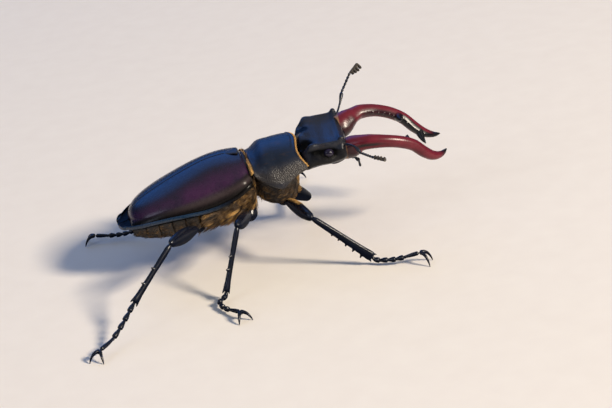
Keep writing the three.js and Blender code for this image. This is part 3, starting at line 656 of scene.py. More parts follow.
# Rows are [station, half width of the crown ridge, of the temples, then the heights of the
# ridge, of the hollow between the ridges, and of the throat].
HEAD = [
    [0.00, 5.9, 7.5, 23.1, 22.9, 18.3],
    [0.12, 7.1, 8.8, 24.0, 23.7, 18.0],
    [0.26, 7.6, 9.2, 25.4, 24.3, 18.1],
    [0.42, 7.3, 9.5, 25.3, 24.2, 18.6],
    [0.60, 7.6, 9.5, 25.2, 23.9, 18.7],
    [0.76, 7.6, 8.9, 25.4, 24.2, 18.6],
    [0.88, 7.5, 8.8, 26.0, 24.4, 18.8],
    [1.00, 6.5, 7.4, 23.8, 22.3, 19.9],
]
EYE, EYE_SIZE = (18.45, 8.35, 23.2), (1.1, 1.0, 0.95)
head_turn = np.array(Matrix.Rotation(HEAD_TURN, 3, "Z") @ Matrix.Rotation(HEAD_TIP, 3, "X"))
SIDES = (("left", 1), ("right", -1))


def in_head(points):
    """Places given in the head's own frame, turned and tipped about the neck."""
    return NECK + (np.asarray(points, float) - NECK) @ head_turn.T


def spline(a, b, c, d, u):
    """Places on the smooth line from b to c, which heads in from a and on to d."""
    bend = (2 * a - 5 * b + 4 * c - d) * u ** 2 + (3 * b - a - 3 * c + d) * u ** 3
    return 0.5 * (2 * b + (c - a) * u + bend)


def closed_curve(points, steps):
    """A smooth closed line through the points, with so many steps from each to the next."""
    points = np.asarray(points, float)
    u = np.linspace(0, 1, steps, endpoint=False)[:, None]
    before, after, beyond = (np.roll(points, k, axis=0) for k in (1, -1, -2))
    return np.vstack([spline(*four, u) for four in zip(before, points, after, beyond)])


def head_ring(u):
    """One ring of the head, from the neck at 0 to the front at 1."""
    ridge, temple, top, hollow, throat = along(HEAD, u)
    middle = (throat + top) / 2
    half = np.array([
        [0, hollow],
        [ridge * 0.6, hollow + (top - hollow) * 0.25],
        [ridge, top],
        [(ridge + temple) / 2, top + (middle - top) * 0.35],
        [temple, middle],
        [temple - 0.7, middle + (throat - middle) * 0.35],
        [temple * 0.55, middle + (throat - middle) * 0.8],
        [0, throat],
    ])
    ring = closed_curve(np.vstack([half, (half * [-1, 1])[-2:0:-1]]), 16)
    x = HEAD_BACK + (HEAD_FRONT - HEAD_BACK) * u + (1 - u) ** 6 * (ring[:, 0] / 8) ** 2
    return np.column_stack([x, ring])


def squeeze(ring, share):
    """A ring drawn in towards its middle, to round off an end."""
    middle = ring.mean(0)
    return middle + (ring - middle) * [1, share, share]


rings = []
for u in np.linspace(0, 1, 130):
    rounding = 1 - 0.28 * math.exp(-u / 0.018) - 0.28 * math.exp(-(1 - u) / 0.022)
    rings.append(squeeze(head_ring(u), rounding))
skull = build("head_capsule", loft(rings))
points, normals = places(skull)
side_of = np.sign(points[:, 1])
away = np.abs(points[:, 1])


def spot(x, y, z, size):
    """A soft patch on both sides of the head."""
    d = (points - np.stack([np.full_like(away, x), side_of * y, np.full_like(away, z)], -1)) / size
    return np.exp(-(d ** 2).sum(1))


# A pit behind each ridge corner, the right one deeper, and the domed nape between them.
pit = spot(13.9, 5.0, 24.1, (1.4, 1.6, 1.6)) * (1 - smooth(away, 6.0, 7.0))
nape = bump_at(points[:, 0], 13.6, 1.1) * bump_at(points[:, 1], 0, 2.2)
socket = spot(18.6, 9.0, 23.5, (1.75, 0.9, 1.2))                # round the eye
temple = spot(15.8, 8.6, 24.0, (1.5, 0.9, 0.7))                 # hollow between ridge and eye
relief = -np.where(side_of < 0, 2.0, 0.4) * pit - 0.45 * socket - 0.3 * temple
relief += 0.9 * nape * smooth(normals[:, 2], 0, 0.5)
relief += 0.55 * spot(20.7, 8.9, 23.7, (1.3, 0.8, 0.55))        # bar in front of the eye
relief += 0.25 * spot(18.4, 7.6, 25.2, (3.4, 0.4, 0.4))         # side ridge
relief += 0.30 * spot(21.6, 7.6, 26.0, (0.6, 0.7, 0.5))         # front corner
front_dip = bump_at(points[:, 0], 21.0, 1.2) * bump_at(points[:, 1], 0, 4.0)
front_lip = bump_at(points[:, 0], 22.5, 0.35) * bump_at(points[:, 1], 0, 5.5)
relief -= 0.4 * front_dip * smooth(normals[:, 2], 0.4, 0.8)
relief += 0.25 * front_lip * smooth(normals[:, 2], 0.2, 0.6)
points = points + normals * relief[:, None]
reshape(skull, in_head(points))
_, normals = places(skull)
# The inner walls of the pits, the sockets and the sides below the ridges are painted in shade, near black,
# with their gloss taken down.
wall = 3.0 * spot(13.7, 4.2, 23.8, (1.8, 1.8, 1.6)) * smooth(normals[:, 1] * side_of, -0.25, 0.0)
below = 0.55 * smooth(normals[:, 1] * side_of, 0.5, 0.85) * (1 - smooth(points[:, 2], 23.8, 24.6))
mark(skull, "granulation", 0.3 + 0.3 * smooth(22.8 - points[:, 2], 0, 1.5))
mark(skull, "hollow", (wall + 1.2 * socket + 0.7 * temple + below).clip(0, 1))
settle(skull, black_chitin, "black_shell", "head")

# Faceted eyes, like wet black glass with a violet depth.
eye_glass, tree, shader = finish_of("wet_facet_lens", {"IOR": 1.5, "Roughness": 0.2})
place = add(tree, "TexCoord").outputs["Object"]
# Real facets are 0.03 mm across; they are drawn at 0.09 mm.
facets = add(tree, "TexVoronoi", {
    "Vector": place, "Scale": per_mm(0.09)}, feature="SMOOTH_F1").outputs["Distance"]
bumps = add(tree, "Bump", {"Height": facets, "Strength": 0.15, "Distance": 0.01 * MM}, invert=True)
violet = clouded(tree, place, 0.8, "#0a0811", "#1d1430")
plug(shader, {"Base Color": violet, "Normal": bumps.outputs["Normal"]})

for side, s in SIDES:
    x, y, z = EYE
    rings = []
    for polar in np.linspace(0.02, math.pi - 0.02, 32):
        turn_angle = np.linspace(0, 2 * math.pi, 48, endpoint=False)
        rings.append(in_head(np.stack([
            x + EYE_SIZE[0] * math.cos(polar) + 0 * turn_angle,
            s * y + EYE_SIZE[1] * math.sin(polar) * np.cos(turn_angle),
            z + EYE_SIZE[2] * math.sin(polar) * np.sin(turn_angle)], -1)))
    globe = build(f"eye_lens_{side}", loft(rings))
    settle(globe, eye_glass, "eye", f"eye_{side}")

# ---------------------------------------------------------------- jaws
# Each jaw is one horn of solid chitin hinged into the head, bowed out and down, with a strong tine
# past its middle, a forked end and a row of blunt teeth along its inner edge. It is red-brown, black
# where it works, and painted in shade, near black, under its base and in the furrow near it.
# Rows are [station, x, y, z, half height, half width], the left jaw in the head's frame.
JAW = [
    [0.00, 22.7, 5.5, 22.2, 2.3, 2.5],
    [0.06, 23.9, 6.4, 22.9, 2.35, 2.4],
    [0.10, 24.8, 6.9, 23.4, 2.1, 2.2],
    [0.15, 25.9, 7.5, 23.85, 1.75, 1.9],
    [0.22, 27.6, 8.2, 24.1, 1.62, 1.6],
    [0.36, 31.0, 8.5, 23.7, 1.4, 1.25],
    [0.50, 34.2, 8.1, 22.7, 1.35, 1.2],
    [0.64, 37.0, 7.4, 21.1, 1.3, 1.25],
    [0.75, 39.1, 6.9, 18.9, 1.25, 1.5],
    [0.84, 41.0, 6.3, 17.4, 1.05, 1.3],
    [0.93, 43.0, 5.3, 16.9, 0.65, 0.75],
    [1.00, 44.6, 4.1, 17.4, 0.22, 0.22],
]
# Teeth are [station, reach inward, lift, forward, root radius].
TEETH = [
    [0.59, 2.5, 0.4, 0.3, 1.15],
    [0.80, 2.3, -1.9, 0.8, 1.05],
    [0.27, 0.35, 0.1, 0, 0.45],
    [0.335, 0.5, 0.1, 0, 0.45],
    [0.39, 0.4, 0.1, 0, 0.4],
    [0.44, 0.55, 0.1, 0, 0.45],
    [0.49, 0.4, 0.1, 0, 0.4],
    [0.53, 0.45, 0.1, 0, 0.4],
    [0.67, 0.4, 0, 0, 0.4],
    [0.71, 0.35, -0.1, 0, 0.4],
]


def limb(rows, steps, sides, up=(0, 0, 1), ends=(0.0, 0.0), section=None):
    """Rings of an oval limb. A row is [station, x, y, z, half height, half width]; ends are the
    shares of its length over which each end is rounded off; section shapes the oval."""
    rows = np.asarray(rows, float)
    first, last = rows[0, 0], rows[-1, 0]
    u = 0.5 - 0.5 * np.cos(np.linspace(0, math.pi, steps)) if max(ends) > 0 else np.linspace(0, 1, steps)
    t = first + (last - first) * u
    values = along(rows, t)
    nudge = (last - first) / 100
    line = rows[:, :4]
    ahead = unit(along(line, np.clip(t + nudge, first, last)) - along(line, np.clip(t - nudge, first, last)))
    side = unit(np.cross(ahead, np.asarray(up, float)))
    top = np.cross(side, ahead)
    girth = np.ones(steps)
    for share, u_end in ((ends[0], u), (ends[1], 1 - u)):
        if share > 0:
            girth *= np.sqrt(np.clip(1 - (1 - np.clip(u_end / share, 0, 1)) ** 2, 1e-4, 1))
    angle = np.linspace(0, 2 * math.pi, sides, endpoint=False)
    rings = []
    for i in range(steps):
        stretch = girth[i] * (section(t[i], angle) if section else 1.0)
        rings.append(values[i, :3] + np.outer(values[i, 3] * stretch * np.cos(angle), top[i])
                     + np.outer(values[i, 4] * stretch * np.sin(angle), side[i]))
    return np.array(rings)


def rod(start, end, girth, steps, sides, up=(0, 0, 1), ends=(0.0, 0.0), section=None):
    """A straight limb between two points. A girth row is [station, half height, half width]."""
    start, end = np.asarray(start, float), np.asarray(end, float)
    rows = [[t, *(start + (end - start) * t), tall, wide] for t, tall, wide in girth]
    return limb(rows, steps, sides, up, ends, section)


def thorn(root, tip, radius, lean=(0, 0, 0)):
    """A tapered point that bows by lean on its way from root to tip."""
    root, tip = np.asarray(root, float), np.asarray(tip, float)
    rows = []
    for t in np.linspace(0, 1, 7):
        girth = radius * (1 - t) ** 0.8 + 0.1 * t
        rows.append([t, *(root + (tip - root) * t + np.asarray(lean) * math.sin(math.pi * t)), girth, girth])
    up = (0, 0, 1) if abs(unit(tip - root)[2]) < 0.9 else (1, 0, 0)
    return loft(limb(rows, 14, 14, up))


def weld(name, shape, cell, rounds):
    """Parts grown together into one skin, whose joints are then smoothed."""
    rough_piece = build(name + "_rough", shape)
    mend = rough_piece.modifiers.new("weld", "REMESH")
    mend.mode = "VOXEL"
    mend.voxel_size = cell
    mend.use_smooth_shade = True
    soften = rough_piece.modifiers.new("soften", "SMOOTH")
    soften.factor = 0.5
    soften.iterations = rounds
    graph = bpy.context.evaluated_depsgraph_get()
    mesh = bpy.data.meshes.new_from_object(rough_piece.evaluated_get(graph))
    bpy.data.objects.remove(rough_piece)
    return show(name, mesh)


def jaw_rows(s):
    """The rows of one jaw. The left one stands prouder at its base than the right one."""
    rows = np.array(JAW)
    proud = np.maximum(0.45 - 3 * rows[:, 0], 0) * (s > 0)
    rows[:, 2] *= s
    rows[:, 3] += proud
    rows[:, 4] += proud
    return rows


# Horn chitin: deep red-brown, clear and glossy, passing into black at the edges and points and
# into painted near-black shade under the base and in the outer furrow, and into tan hinge skin where
# the jaw enters the head.
horn_chitin, tree, shader = finish_of(
    "polished_horn_chitin", {"IOR": 1.5, "Roughness": 0.3, "Specular IOR Level": 0.38})
place = add(tree, "TexCoord").outputs["Object"]
red = clouded(tree, place, 2.5, "#3f0b14", "#74202f", detail=6)
black_and_painted_shade = add(tree, "Attribute", attribute_name="black_and_painted_shade").outputs["Fac"]
dark = add(tree, "Mix", {"Factor": black_and_painted_shade, 6: red, 7: linear("#07080d")}, data_type="RGBA")
skin = add(tree, "Attribute", attribute_name="skin").outputs["Fac"]
tone = add(tree, "Mix", {"Factor": skin, 6: dark.outputs[2], 7: linear("#7c5c42")}, data_type="RGBA")
# Real pits are 0.1 mm apart; they are drawn at 0.3 mm so that they show.
plug(shader, {"Base Color": tone.outputs[2], "Normal": pitted(tree, place, 0.3, 0.22, 0.04)})

for side, s in SIDES:
    jaw = jaw_rows(s)
    rows = np.column_stack([jaw[:, 0], in_head(jaw[:, 1:4]), jaw[:, 4:]])
    # The hinge runs on a little way into the head.
    rows = np.vstack([[-0.04, *in_head([21.6, 5.0 * s, jaw[0, 3]]), jaw[0, 4] * 0.95, 2.3], rows])

    def section(t, angle, s=s):
        """A keel along the inner edge and a furrow down the outer side."""
        inward = np.arccos(np.clip(np.sin(angle) * s, -1, 1))
        keel = 0.16 * np.exp(-(inward / 0.4) ** 2) * (1 - smooth(t, 0.85, 1))
        outward = np.arccos(np.clip(-np.sin(angle + 0.35 * s) * s, -1, 1))
        furrow = 0.14 * np.exp(-(outward / 0.3) ** 2) * smooth(t, 0.04, 0.12) * (1 - smooth(t, 0.3, 0.48))
        return 1 + keel - furrow

    parts = [loft(limb(rows, 150, 72, (0.2, 0, 1), (0.0, 0.04), section))]
    for t, reach, lift, forward, radius in TEETH:
        x, y, z, tall, wide = along(jaw, t)
        root = in_head([x, s * (abs(y) - wide * 0.3), z])
        tip = in_head([x + forward, s * (abs(y) - wide - reach), z + lift])
        lean = in_head([0.075 * reach, 0, 0]) - in_head([0, 0, 0])
        parts.append(thorn(root, tip, radius, -lean))
    horn = weld(f"jaw_{side}", several(*parts), cell=0.1, rounds=7)
    points, _ = places(horn)
    t = np.linspace(0, 1, 120)
    line = along(jaw, t)
    middles = in_head(line[:, :3])
    nearest = ((points[:, None] - middles[None]) ** 2).sum(-1).argmin(1)
    inward = in_head([0, -s, 0]) - in_head([0, 0, 0])
    depth = ((points - middles[nearest]) @ inward) / line[nearest, 4]
    rise = (points - middles[nearest])[:, 2] / line[nearest, 3]
    tine = smooth(depth, 0.95, 1.6)
    edge = 0.8 * smooth(depth, 0.7, 1.05) * smooth(t[nearest], 0.12, 0.3)
    edge = np.maximum(edge, smooth(depth, 0.5, 0.8) * smooth(t[nearest], 0.52, 0.62))
    tip = smooth(t[nearest], 0.88, 0.97)
    # The underside of the base and the outer furrow are painted in shade, near black.
    base = 0.8 * (1 - smooth(t[nearest], 0.09, 0.14)) * (1 - smooth(rise, 0.2, 0.75))
    groove = bump_at(rise, -0.15, 0.24) * smooth(-depth, 0.3, 0.6)
    groove *= smooth(t[nearest], 0.1, 0.16) * (1 - smooth(t[nearest], 0.26, 0.36))
    mark(horn, "black_and_painted_shade", np.clip(np.maximum.reduce([tine, edge, tip, base, groove]), 0, 1))
    local = NECK + (points - NECK) @ head_turn
    mark(horn, "skin", 1 - smooth(local[:, 0], 22.4, 22.6))
    settle(horn, horn_chitin, "burgundy_horn", f"mandible_{side}")

# ---------------------------------------------------------------- mouth
# The mouth parts under the jaws, thin pieces of black chitin hinged to the head: a small lip above,
# the chin plate below and a pair of jointed palps.
# Each plate is [back, front, its rows of station, half height and half width, its rounded ends].
PLATES = {
    "labrum": [[23.3, 0, 21.1], [25.1, 0, 20.4],
               [[0, 0.35, 1.7], [0.6, 0.35, 1.5], [1, 0.25, 0.8]], (0, 0.3)],
    "mentum": [[18.6, 0, 17.5], [24.0, 0, 19.0],
               [[0, 0.6, 2.4], [0.4, 0.7, 3.4], [1, 0.45, 2.2]], (0.2, 0.2)],
}
# Rows are [station, x, y, z, half height, half width] of the left palp, in the head's frame.
PALP = [
    [0.00, 23.2, 3.6, 19.4, 0.30, 0.30],
    [0.25, 24.0, 4.05, 19.2, 0.42, 0.42],
    [0.30, 24.2, 4.1, 19.1, 0.24, 0.24],
    [0.55, 24.9, 4.2, 18.4, 0.45, 0.45],
    [0.62, 25.0, 4.2, 18.1, 0.24, 0.24],
    [1.00, 25.2, 3.9, 16.6, 0.32, 0.32],
]
for name, node, steps, sides in (("lip_plate", "labrum", 24, 40), ("chin_plate", "mentum", 40, 48)):
    back_end, front_end, girth, ends = PLATES[node]
    plate = build(name, loft(rod(in_head(back_end), in_head(front_end), girth, steps, sides, ends=ends)))
    mark(plate, "granulation", 0.5)
    settle(plate, black_chitin, "black_shell", node)
for side, s in SIDES:
    rows = [[t, *in_head([x, s * y, z]), tall, wide] for t, x, y, z, tall, wide in PALP]
    palp = build(f"palp_{side}", loft(limb(rows, 48, 20, (1, 0, 0.3), (0.05, 0.12))))
    mark(palp, "granulation", 0.15)
    settle(palp, black_chitin, "black_shell", f"maxillary_palp_{side}")

# ---------------------------------------------------------------- feelers
# Each feeler is a long bowed scape of black chitin, set in a socket before the eye, an elbow, a
# stalk of six beads and a comb of four felted leaves that can't fold.
# Rows are [base, elbow, start of the comb, tip of the comb], way of the bow, way of the leaves.
FEELERS = {
    "left": [[[23.4, 8.9, 24.0], [26.1, 13.2, 27.6], [28.9, 15.2, 30.9], [31.3, 16.6, 32.3]],
             [0.2, 0.1, -0.1], [0.55, 0, -0.6]],
    "right": [[[21.5, -9.6, 24.0], [23.7, -12.9, 22.8], [26.0, -15.2, 22.0], [28.4, -16.8, 21.4]],
              [0.2, -0.5, 0.7], [0.1, -0.9, 0.4]],
}
SCAPE = [[0, 0.38, 0.38], [0.15, 0.24, 0.24], [0.55, 0.25, 0.25], [0.88, 0.44, 0.44], [1, 0.3, 0.3]]
LEAVES = [[0.18, 0.9], [0.42, 1.2], [0.66, 1.4], [0.92, 1.4]]     # station and reach of each leaf
BEADS = 6

# Felted club: dull grey-brown, softened by sense hairs too fine to see one by one.
felt, tree, shader = finish_of(
    "felted_club_chitin", {"IOR": 1.5, "Roughness": 0.75, "Sheen Weight": 0.2})
place = add(tree, "TexCoord").outputs["Object"]
nap = add(tree, "TexNoise", {"Vector": place, "Scale": per_mm(0.15), "Detail": 4}).outputs["Fac"]
tone = add(tree, "Mix", {"Factor": nap, 6: linear("#120f0d"), 7: linear("#352b22")}, data_type="RGBA")
bumps = add(tree, "Bump", {"Height": nap, "Strength": 0.6, "Distance": 0.04 * MM})
plug(shader, {"Base Color": tone.outputs[2], "Normal": bumps.outputs["Normal"]})

for side, _ in SIDES:
    joints, bow, leaf_way = FEELERS[side]
    base, elbow, comb, tip = (np.array(p) for p in joints)
    rows = []
    for t, tall, wide in SCAPE:
        at = base + (elbow - base) * t + np.array(bow) * math.sin(math.pi * t)
        rows.append([t, *at, tall, wide])
    scape = build(f"feeler_scape_{side}", loft(limb(rows, 60, 24, ends=(0.05, 0.08))))
    step = unit(comb - elbow)
    start = elbow - step * 0.15
    length = np.linalg.norm(comb - start)
    parts = []
    for i in range(BEADS):
        near, far = start + (comb - start) * i / BEADS, start + (comb - start) * (i + 1.12) / BEADS
        girth = [[0, 0.19, 0.19], [0.7, 0.31, 0.31], [1, 0.24, 0.24]]
        parts.append(loft(rod(near, far, girth, 18, 20, ends=(0.12, 0.25))))
    stalk = build(f"feeler_stalk_{side}", several(*parts))
    line = tip - comb
    out = np.array(leaf_way)
    out = unit(out - line * (out @ line) / (line @ line))
    parts = [loft(rod(comb, tip, [[0, 0.26, 0.26], [1, 0.4, 0.4]], 24, 20, ends=(0.1, 0.15)))]
    for t, reach in LEAVES:
        root = comb + line * t
        girth = [[0, 0.24, 0.34], [0.4, 0.31, 0.46], [1, 0.3, 0.5]]
        parts.append(loft(rod(root - out * 0.2, root + out * reach, girth, 24, 28, line, ends=(0.1, 0.25))))
    club = build(f"feeler_club_{side}", several(*parts))
    for piece in (scape, stalk):
        mark(piece, "granulation", 0.1)
    settle(scape, black_chitin, "black_shell", f"antenna_scape_{side}")
    settle(stalk, black_chitin, "black_shell", f"antenna_stalk_{side}")
    settle(club, felt, "club_felt", f"antenna_club_{side}")

# ---------------------------------------------------------------- legs
# Six legs of polished blue-black chitin: a hip piece let into the underside, a flattened thigh, a
# shin that widens to the foot and bears spines, a foot of five beads and a pair of hooked claws.
# Each leg is its knee, ankle, the points that the foot passes through, the way the claws point,
# and the way that the shin's spines face.
LEGS = {
    "front_right": [[10.35, -17.4, 12.5], [21.7, -21.2, 1.9],
                    [[24.4, -22.9, 1.35], [27.0, -24.0, 1.6], [31.0, -25.5, 2.6]], [1.5, -0.7], [0, 0, -1]],
    "mid_right": [[-5.5, -19.1, 15.0], [-10.7, -23.0, 2.3],
                  [[-12.6, -25.3, 1.2], [-12.0, -28.2, 1.0], [-9.6, -32.7, 1.7]], [0.6, -1.8], [0, 0, 1]],
    "hind_right": [[-20.0, -21.0, 15.0], [-30.2, -27.0, 6.2],
                   [[-33.6, -31.0, 3.9], [-36.2, -33.7, 2.4], [-39.2, -36.6, 1.9]], [-0.9, -1.5], [0, 0, 1]],
    "front_left": [[14.4, 9.4, 5.8], [13.0, 25.0, 2.2],
                   [[13.1, 28.1, 1.3], [13.8, 30.3, 1.4], [15.6, 33.4, 2.1]], [0.8, 1.5], [1, 0, 0.3]],
    "mid_left": [[-5.0, 18.4, 15.0], [-9.6, 17.8, 2.3],
                 [[-11.2, 20.6, 1.2], [-11.9, 23.4, 1.2], [-12.6, 27.8, 1.9]], [-0.3, 1.8], [0, 0, 1]],
    "hind_left": [[-15.6, 20.3, 12.4], [-25.2, 20.0, 2.9],
                  [[-27.6, 20.6, 1.7], [-30.2, 21.5, 1.5], [-34.3, 22.7, 1.8]], [-1.8, 0.5], [0, 0, 1]],
}
# Each is [inner end, hip, radius], for the left side.
COXAE = {
    "front": [[7.0, 2.0, 12.6], [7.0, 4.6, 12.4], 1.5],
    "mid": [[-1.4, 3.8, 11.4], [-1.1, 6.2, 11.3], 1.7],
    "hind": [[-12.0, 1.7, 11.1], [-12.8, 7.6, 11.3], 1.45],
}
FEMUR = [[0, 0.6, 0.55], [0.13, 1.05, 0.8], [0.38, 1.6, 1.0],
         [0.65, 1.6, 1.05], [0.92, 1.05, 0.85], [1, 0.75, 0.65]]
TIBIA = {
    "front": [[0, 0.5, 0.45], [0.1, 0.68, 0.6], [0.4, 0.8, 0.55],
              [0.8, 1.0, 0.6], [0.96, 1.15, 0.6], [1, 0.9, 0.45]],
    "mid": [[0, 0.45, 0.42], [0.1, 0.62, 0.56], [0.5, 0.56, 0.5],
            [0.85, 0.66, 0.56], [0.96, 0.8, 0.64], [1, 0.62, 0.5]],
    "hind": [[0, 0.45, 0.42], [0.1, 0.64, 0.58], [0.5, 0.6, 0.52],
             [0.85, 0.68, 0.58], [0.96, 0.8, 0.64], [1, 0.62, 0.5]],
}
# Spines are [station, reach] down the outer edge of the shin.
SPINES = {
    "front": [[0.3, 0.4], [0.42, 0.45], [0.55, 0.55], [0.68, 0.65], [0.82, 0.8]],
    "mid": [[0.4, 0.5], [0.62, 0.6]],
    "hind": [[0.38, 0.5], [0.66, 0.6]],
}
FOOT_JOINTS = (0, 0.2, 0.37, 0.53, 0.69, 1)

# Leg chitin, polished by wear: a glossy black with a steel-blue cast painted in as sheen, finely
# pitted, and dusty on its underside.
leg_chitin, tree, shader = finish_of("polished_blue_black_chitin", {"IOR": 1.5})
place = add(tree, "TexCoord").outputs["Object"]
tone = clouded(tree, place, 1.6, "#04060c", "#0d1426", detail=5)
shaded = add(tree, "Attribute", attribute_name="shaded").outputs["Fac"]
shine = add(tree, "MapRange", {"Value": shaded, "To Min": 0.42, "To Max": 0.03})
dull = add(tree, "MapRange", {"Value": shaded, "To Min": 0.26, "To Max": 0.6})
# Real pits are 0.1 mm apart; they are drawn at 0.35 mm so that they show.
plug(shader, {
    "Base Color": tone, "Specular IOR Level": shine.outputs[0],
    "Roughness": dull.outputs[0], "Normal": pitted(tree, place, 0.35, 0.35, 0.05)})


def smooth_path(points, count):
    """Evenly spaced places along a smooth line through the points."""
    points = np.asarray(points, float)
    padded = np.vstack([2 * points[0] - points[1], points, 2 * points[-1] - points[-2]])
    fine = []
    u = np.linspace(0, 1, 40, endpoint=False)[:, None]
    for a, b, c, d in zip(padded, padded[1:], padded[2:], padded[3:]):
        fine.append(spline(a, b, c, d, u))
    fine = np.vstack(fine + [points[-1:]])
    walked = np.concatenate([[0], np.cumsum(np.linalg.norm(np.diff(fine, axis=0), axis=1))])
    wanted = np.linspace(0, walked[-1], count)
    return np.stack([np.interp(wanted, walked, fine[:, k]) for k in range(3)], -1)


def ridged(t, angle):
    """The shallow lengthwise flutes of a shin."""
    return 1 - 0.05 * np.cos(4 * angle) * smooth(t, 0.08, 0.25)


def press(piece, height):
    """Flattens what would reach below this height, as the floor does."""
    points, _ = places(piece)
    points[:, 2] = np.maximum(points[:, 2], height)
    reshape(piece, points)


def settle_leg(piece, node):
    """Gives a piece of a leg its finish, which is dusty where it faces the ground."""
    _, normals = places(piece)
    mark(piece, "shaded", 1 - smooth(normals[:, 2], -0.05, 0.45))
    settle(piece, leg_chitin, "leg_shell", node)


femora = {}
for leg, (knee, ankle, foot, toe, spine_way) in LEGS.items():
    pair, side = leg.split("_")
    s = dict(SIDES)[side]
    knee, ankle, spine_way = np.array(knee), np.array(ankle), np.array(spine_way, float)
    inner, hip, radius = COXAE[pair]
    inner, hip = np.array(inner) * [1, s, 1], np.array(hip) * [1, s, 1]
    way = unit(hip - inner)
    girth = [[t, radius * share, radius * share] for t, share in ((0, 0.5), (0.2, 1), (0.8, 1), (1, 0.6))]
    start, end = inner - way * radius * 0.8, hip + way * radius * 0.8
    coxa = build(f"hip_{leg}", loft(rod(start, end, girth, 32, 36, (1, 0, 0), (0.3, 0.3))))
    settle_leg(coxa, f"coxa_{leg}")

    way = unit(knee - hip)
    root = hip + way * radius * 0.75
    femur = build(f"thigh_{leg}", loft(rod(root, knee + way * 0.75, FEMUR, 64, 40, ends=(0.06, 0.1))))
    femora[leg] = femur
    settle_leg(femur, f"femur_{leg}")

    way = unit(ankle - knee)
    top = knee + way * 0.15
    edge = unit(np.cross(np.cross(way, spine_way), way))
    parts = [loft(rod(top, ankle + way * 0.1, TIBIA[pair], 90, 48, spine_way, (0.07, 0.03), ridged))]
    for t, reach in SPINES[pair]:
        at = knee + way * 1.35 + (ankle - knee - way * 1.35) * t
        out = along(TIBIA[pair], t)[0] + reach
        parts.append(thorn(at, at + edge * out + way * reach * 0.7, 0.5, way * 0.1))
    for lean in (-1, 1):
        at = ankle - (ankle - knee) * 0.07 + edge * lean * 0.45
        parts.append(thorn(at, at + way * 1.5 + edge * lean * 0.6, 0.4))
    shin = weld(f"shin_{leg}", several(*parts), cell=0.1, rounds=4)
    settle_leg(shin, f"tibia_{leg}")

    start = ankle - way * 0.3
    path = smooth_path([start, ankle + way * 1.0] + foot, 201)
    parts = []
    for i in range(5):
        first, last = int(FOOT_JOINTS[i] * 200), int(FOOT_JOINTS[i + 1] * 200)
        first = max(first - 4, 0)
        line = path[first:last + 1]
        t = np.linspace(0, 1, len(line))
        bell = 0.3 + (0.28 if i < 4 else 0.16) * smooth(t, 0.05, 0.7) - 0.12 * smooth(t, 0.88, 1)
        rows = [[k, *p, b, b] for k, p, b in zip(t, line, bell)]
        parts.append(loft(limb(rows, 30, 24, ends=(0.08, 0.15))))
        if i < 4:
            end, ahead = line[-1], unit(line[-1] - line[-4])
            across = unit(np.cross(ahead, (0, 0, 1)))
            for lean in (-1, 1):
                pad = end + across * lean * 0.28 - [0, 0, 0.2]
                parts.append(thorn(end - ahead * 0.4, pad + ahead * 0.45, 0.22))
    tarsus = build(f"foot_{leg}", several(*parts))
    press(tarsus, 0.06)
    settle_leg(tarsus, f"tarsus_{leg}")

    ahead = unit([toe[0], toe[1], 0])
    across = np.array([-ahead[1], ahead[0], 0])
    root = path[-1] + unit(path[-1] - path[-4]) * 0.2
    parts = []
    for lean in (-1, 1):
        bend = root + ahead * 1.6 + across * lean * 1.05 + [0, 0, 0.35]
        tip = root + ahead * 2.2 + across * lean * 1.6
        tip[2] = 0.0
        rows = []
        for t in np.linspace(0, 1, 8):
            at = root * (1 - t) ** 2 + bend * 2 * t * (1 - t) + tip * t ** 2
            size = 0.4 * (1 - t) ** 0.7 + 0.07
            rows.append([t, *at, size, size])
        parts.append(loft(limb(rows, 40, 20, ends=(0.1, 0.02))))
    mid = root + ahead * 0.9 - [0, 0, 0.25]
    parts.append(thorn(root, mid, 0.2))
    claws = build(f"claw_pair_{leg}", several(*parts))
    press(claws, 0.0)
    settle_leg(claws, f"claws_{leg}")

# ---------------------------------------------------------------- hair
# Golden bristles edge the pronotum. Shaggy brown hair grows from the breast and flanks, where it
# lies back in matted locks, and a gold patch marks each front thigh. Each hair is a closed sliver.
random = np.random.default_rng(7)

# Bristle: dark brown at the root, passing to anything from umber to pale gold, lock by lock. Real
# ones are 0.03 mm thick; they are drawn 0.1 mm thick so that they show.
bristle, tree, shader = finish_of("amber_bristle", {"IOR": 1.5, "Roughness": 0.5})
reach = add(tree, "MapRange", {
    "Value": add(tree, "Attribute", attribute_name="along").outputs["Fac"], "From Max": 0.5})
shade = add(tree, "Attribute", attribute_name="shade").outputs["Fac"]
gold = add(tree, "ValToRGB", {"Fac": shade})
ramp = gold.color_ramp
ramp.elements[0].color = linear("#1c120b")
ramp.elements[1].color = linear("#e6b567")
for stop, code in ((0.35, "#56412a"), (0.7, "#a8814a")):
    ramp.elements.new(stop).color = linear(code)
tone = add(tree, "Mix", {
    "Factor": reach.outputs[0], 6: linear("#150d08"), 7: gold.outputs[0]}, data_type="RGBA")
plug(shader, {"Base Color": tone.outputs[2]})


def roots_on(skins, weight, count):
    """Random places on the skins, with their outward ways, thickest where weight is highest."""
    points, normals, areas = [], [], []
    for skin in skins:
        skin.data.calc_loop_triangles()
        corners = np.empty(len(skin.data.loop_triangles) * 3, np.int32)
        skin.data.loop_triangles.foreach_get("vertices", corners)
        at, out = places(skin)
        at = at / MM - WAIST
        corners = corners.reshape(-1, 3)
        a, b, c = (at[corners[:, k]] for k in range(3))
        points.append(np.stack([a, b, c], 1))
        normals.append(out[corners].mean(1))
        areas.append(0.5 * np.linalg.norm(np.cross(b - a, c - a), axis=1))
    points, normals, areas = np.vstack(points), np.vstack(normals), np.concatenate(areas)
    chance = areas * weight(points.mean(1), normals)
    chosen = random.choice(len(areas), count, p=chance / chance.sum())
    share = random.dirichlet((1, 1, 1), count)
    return (points[chosen] * share[:, :, None]).sum(1), unit(normals[chosen])


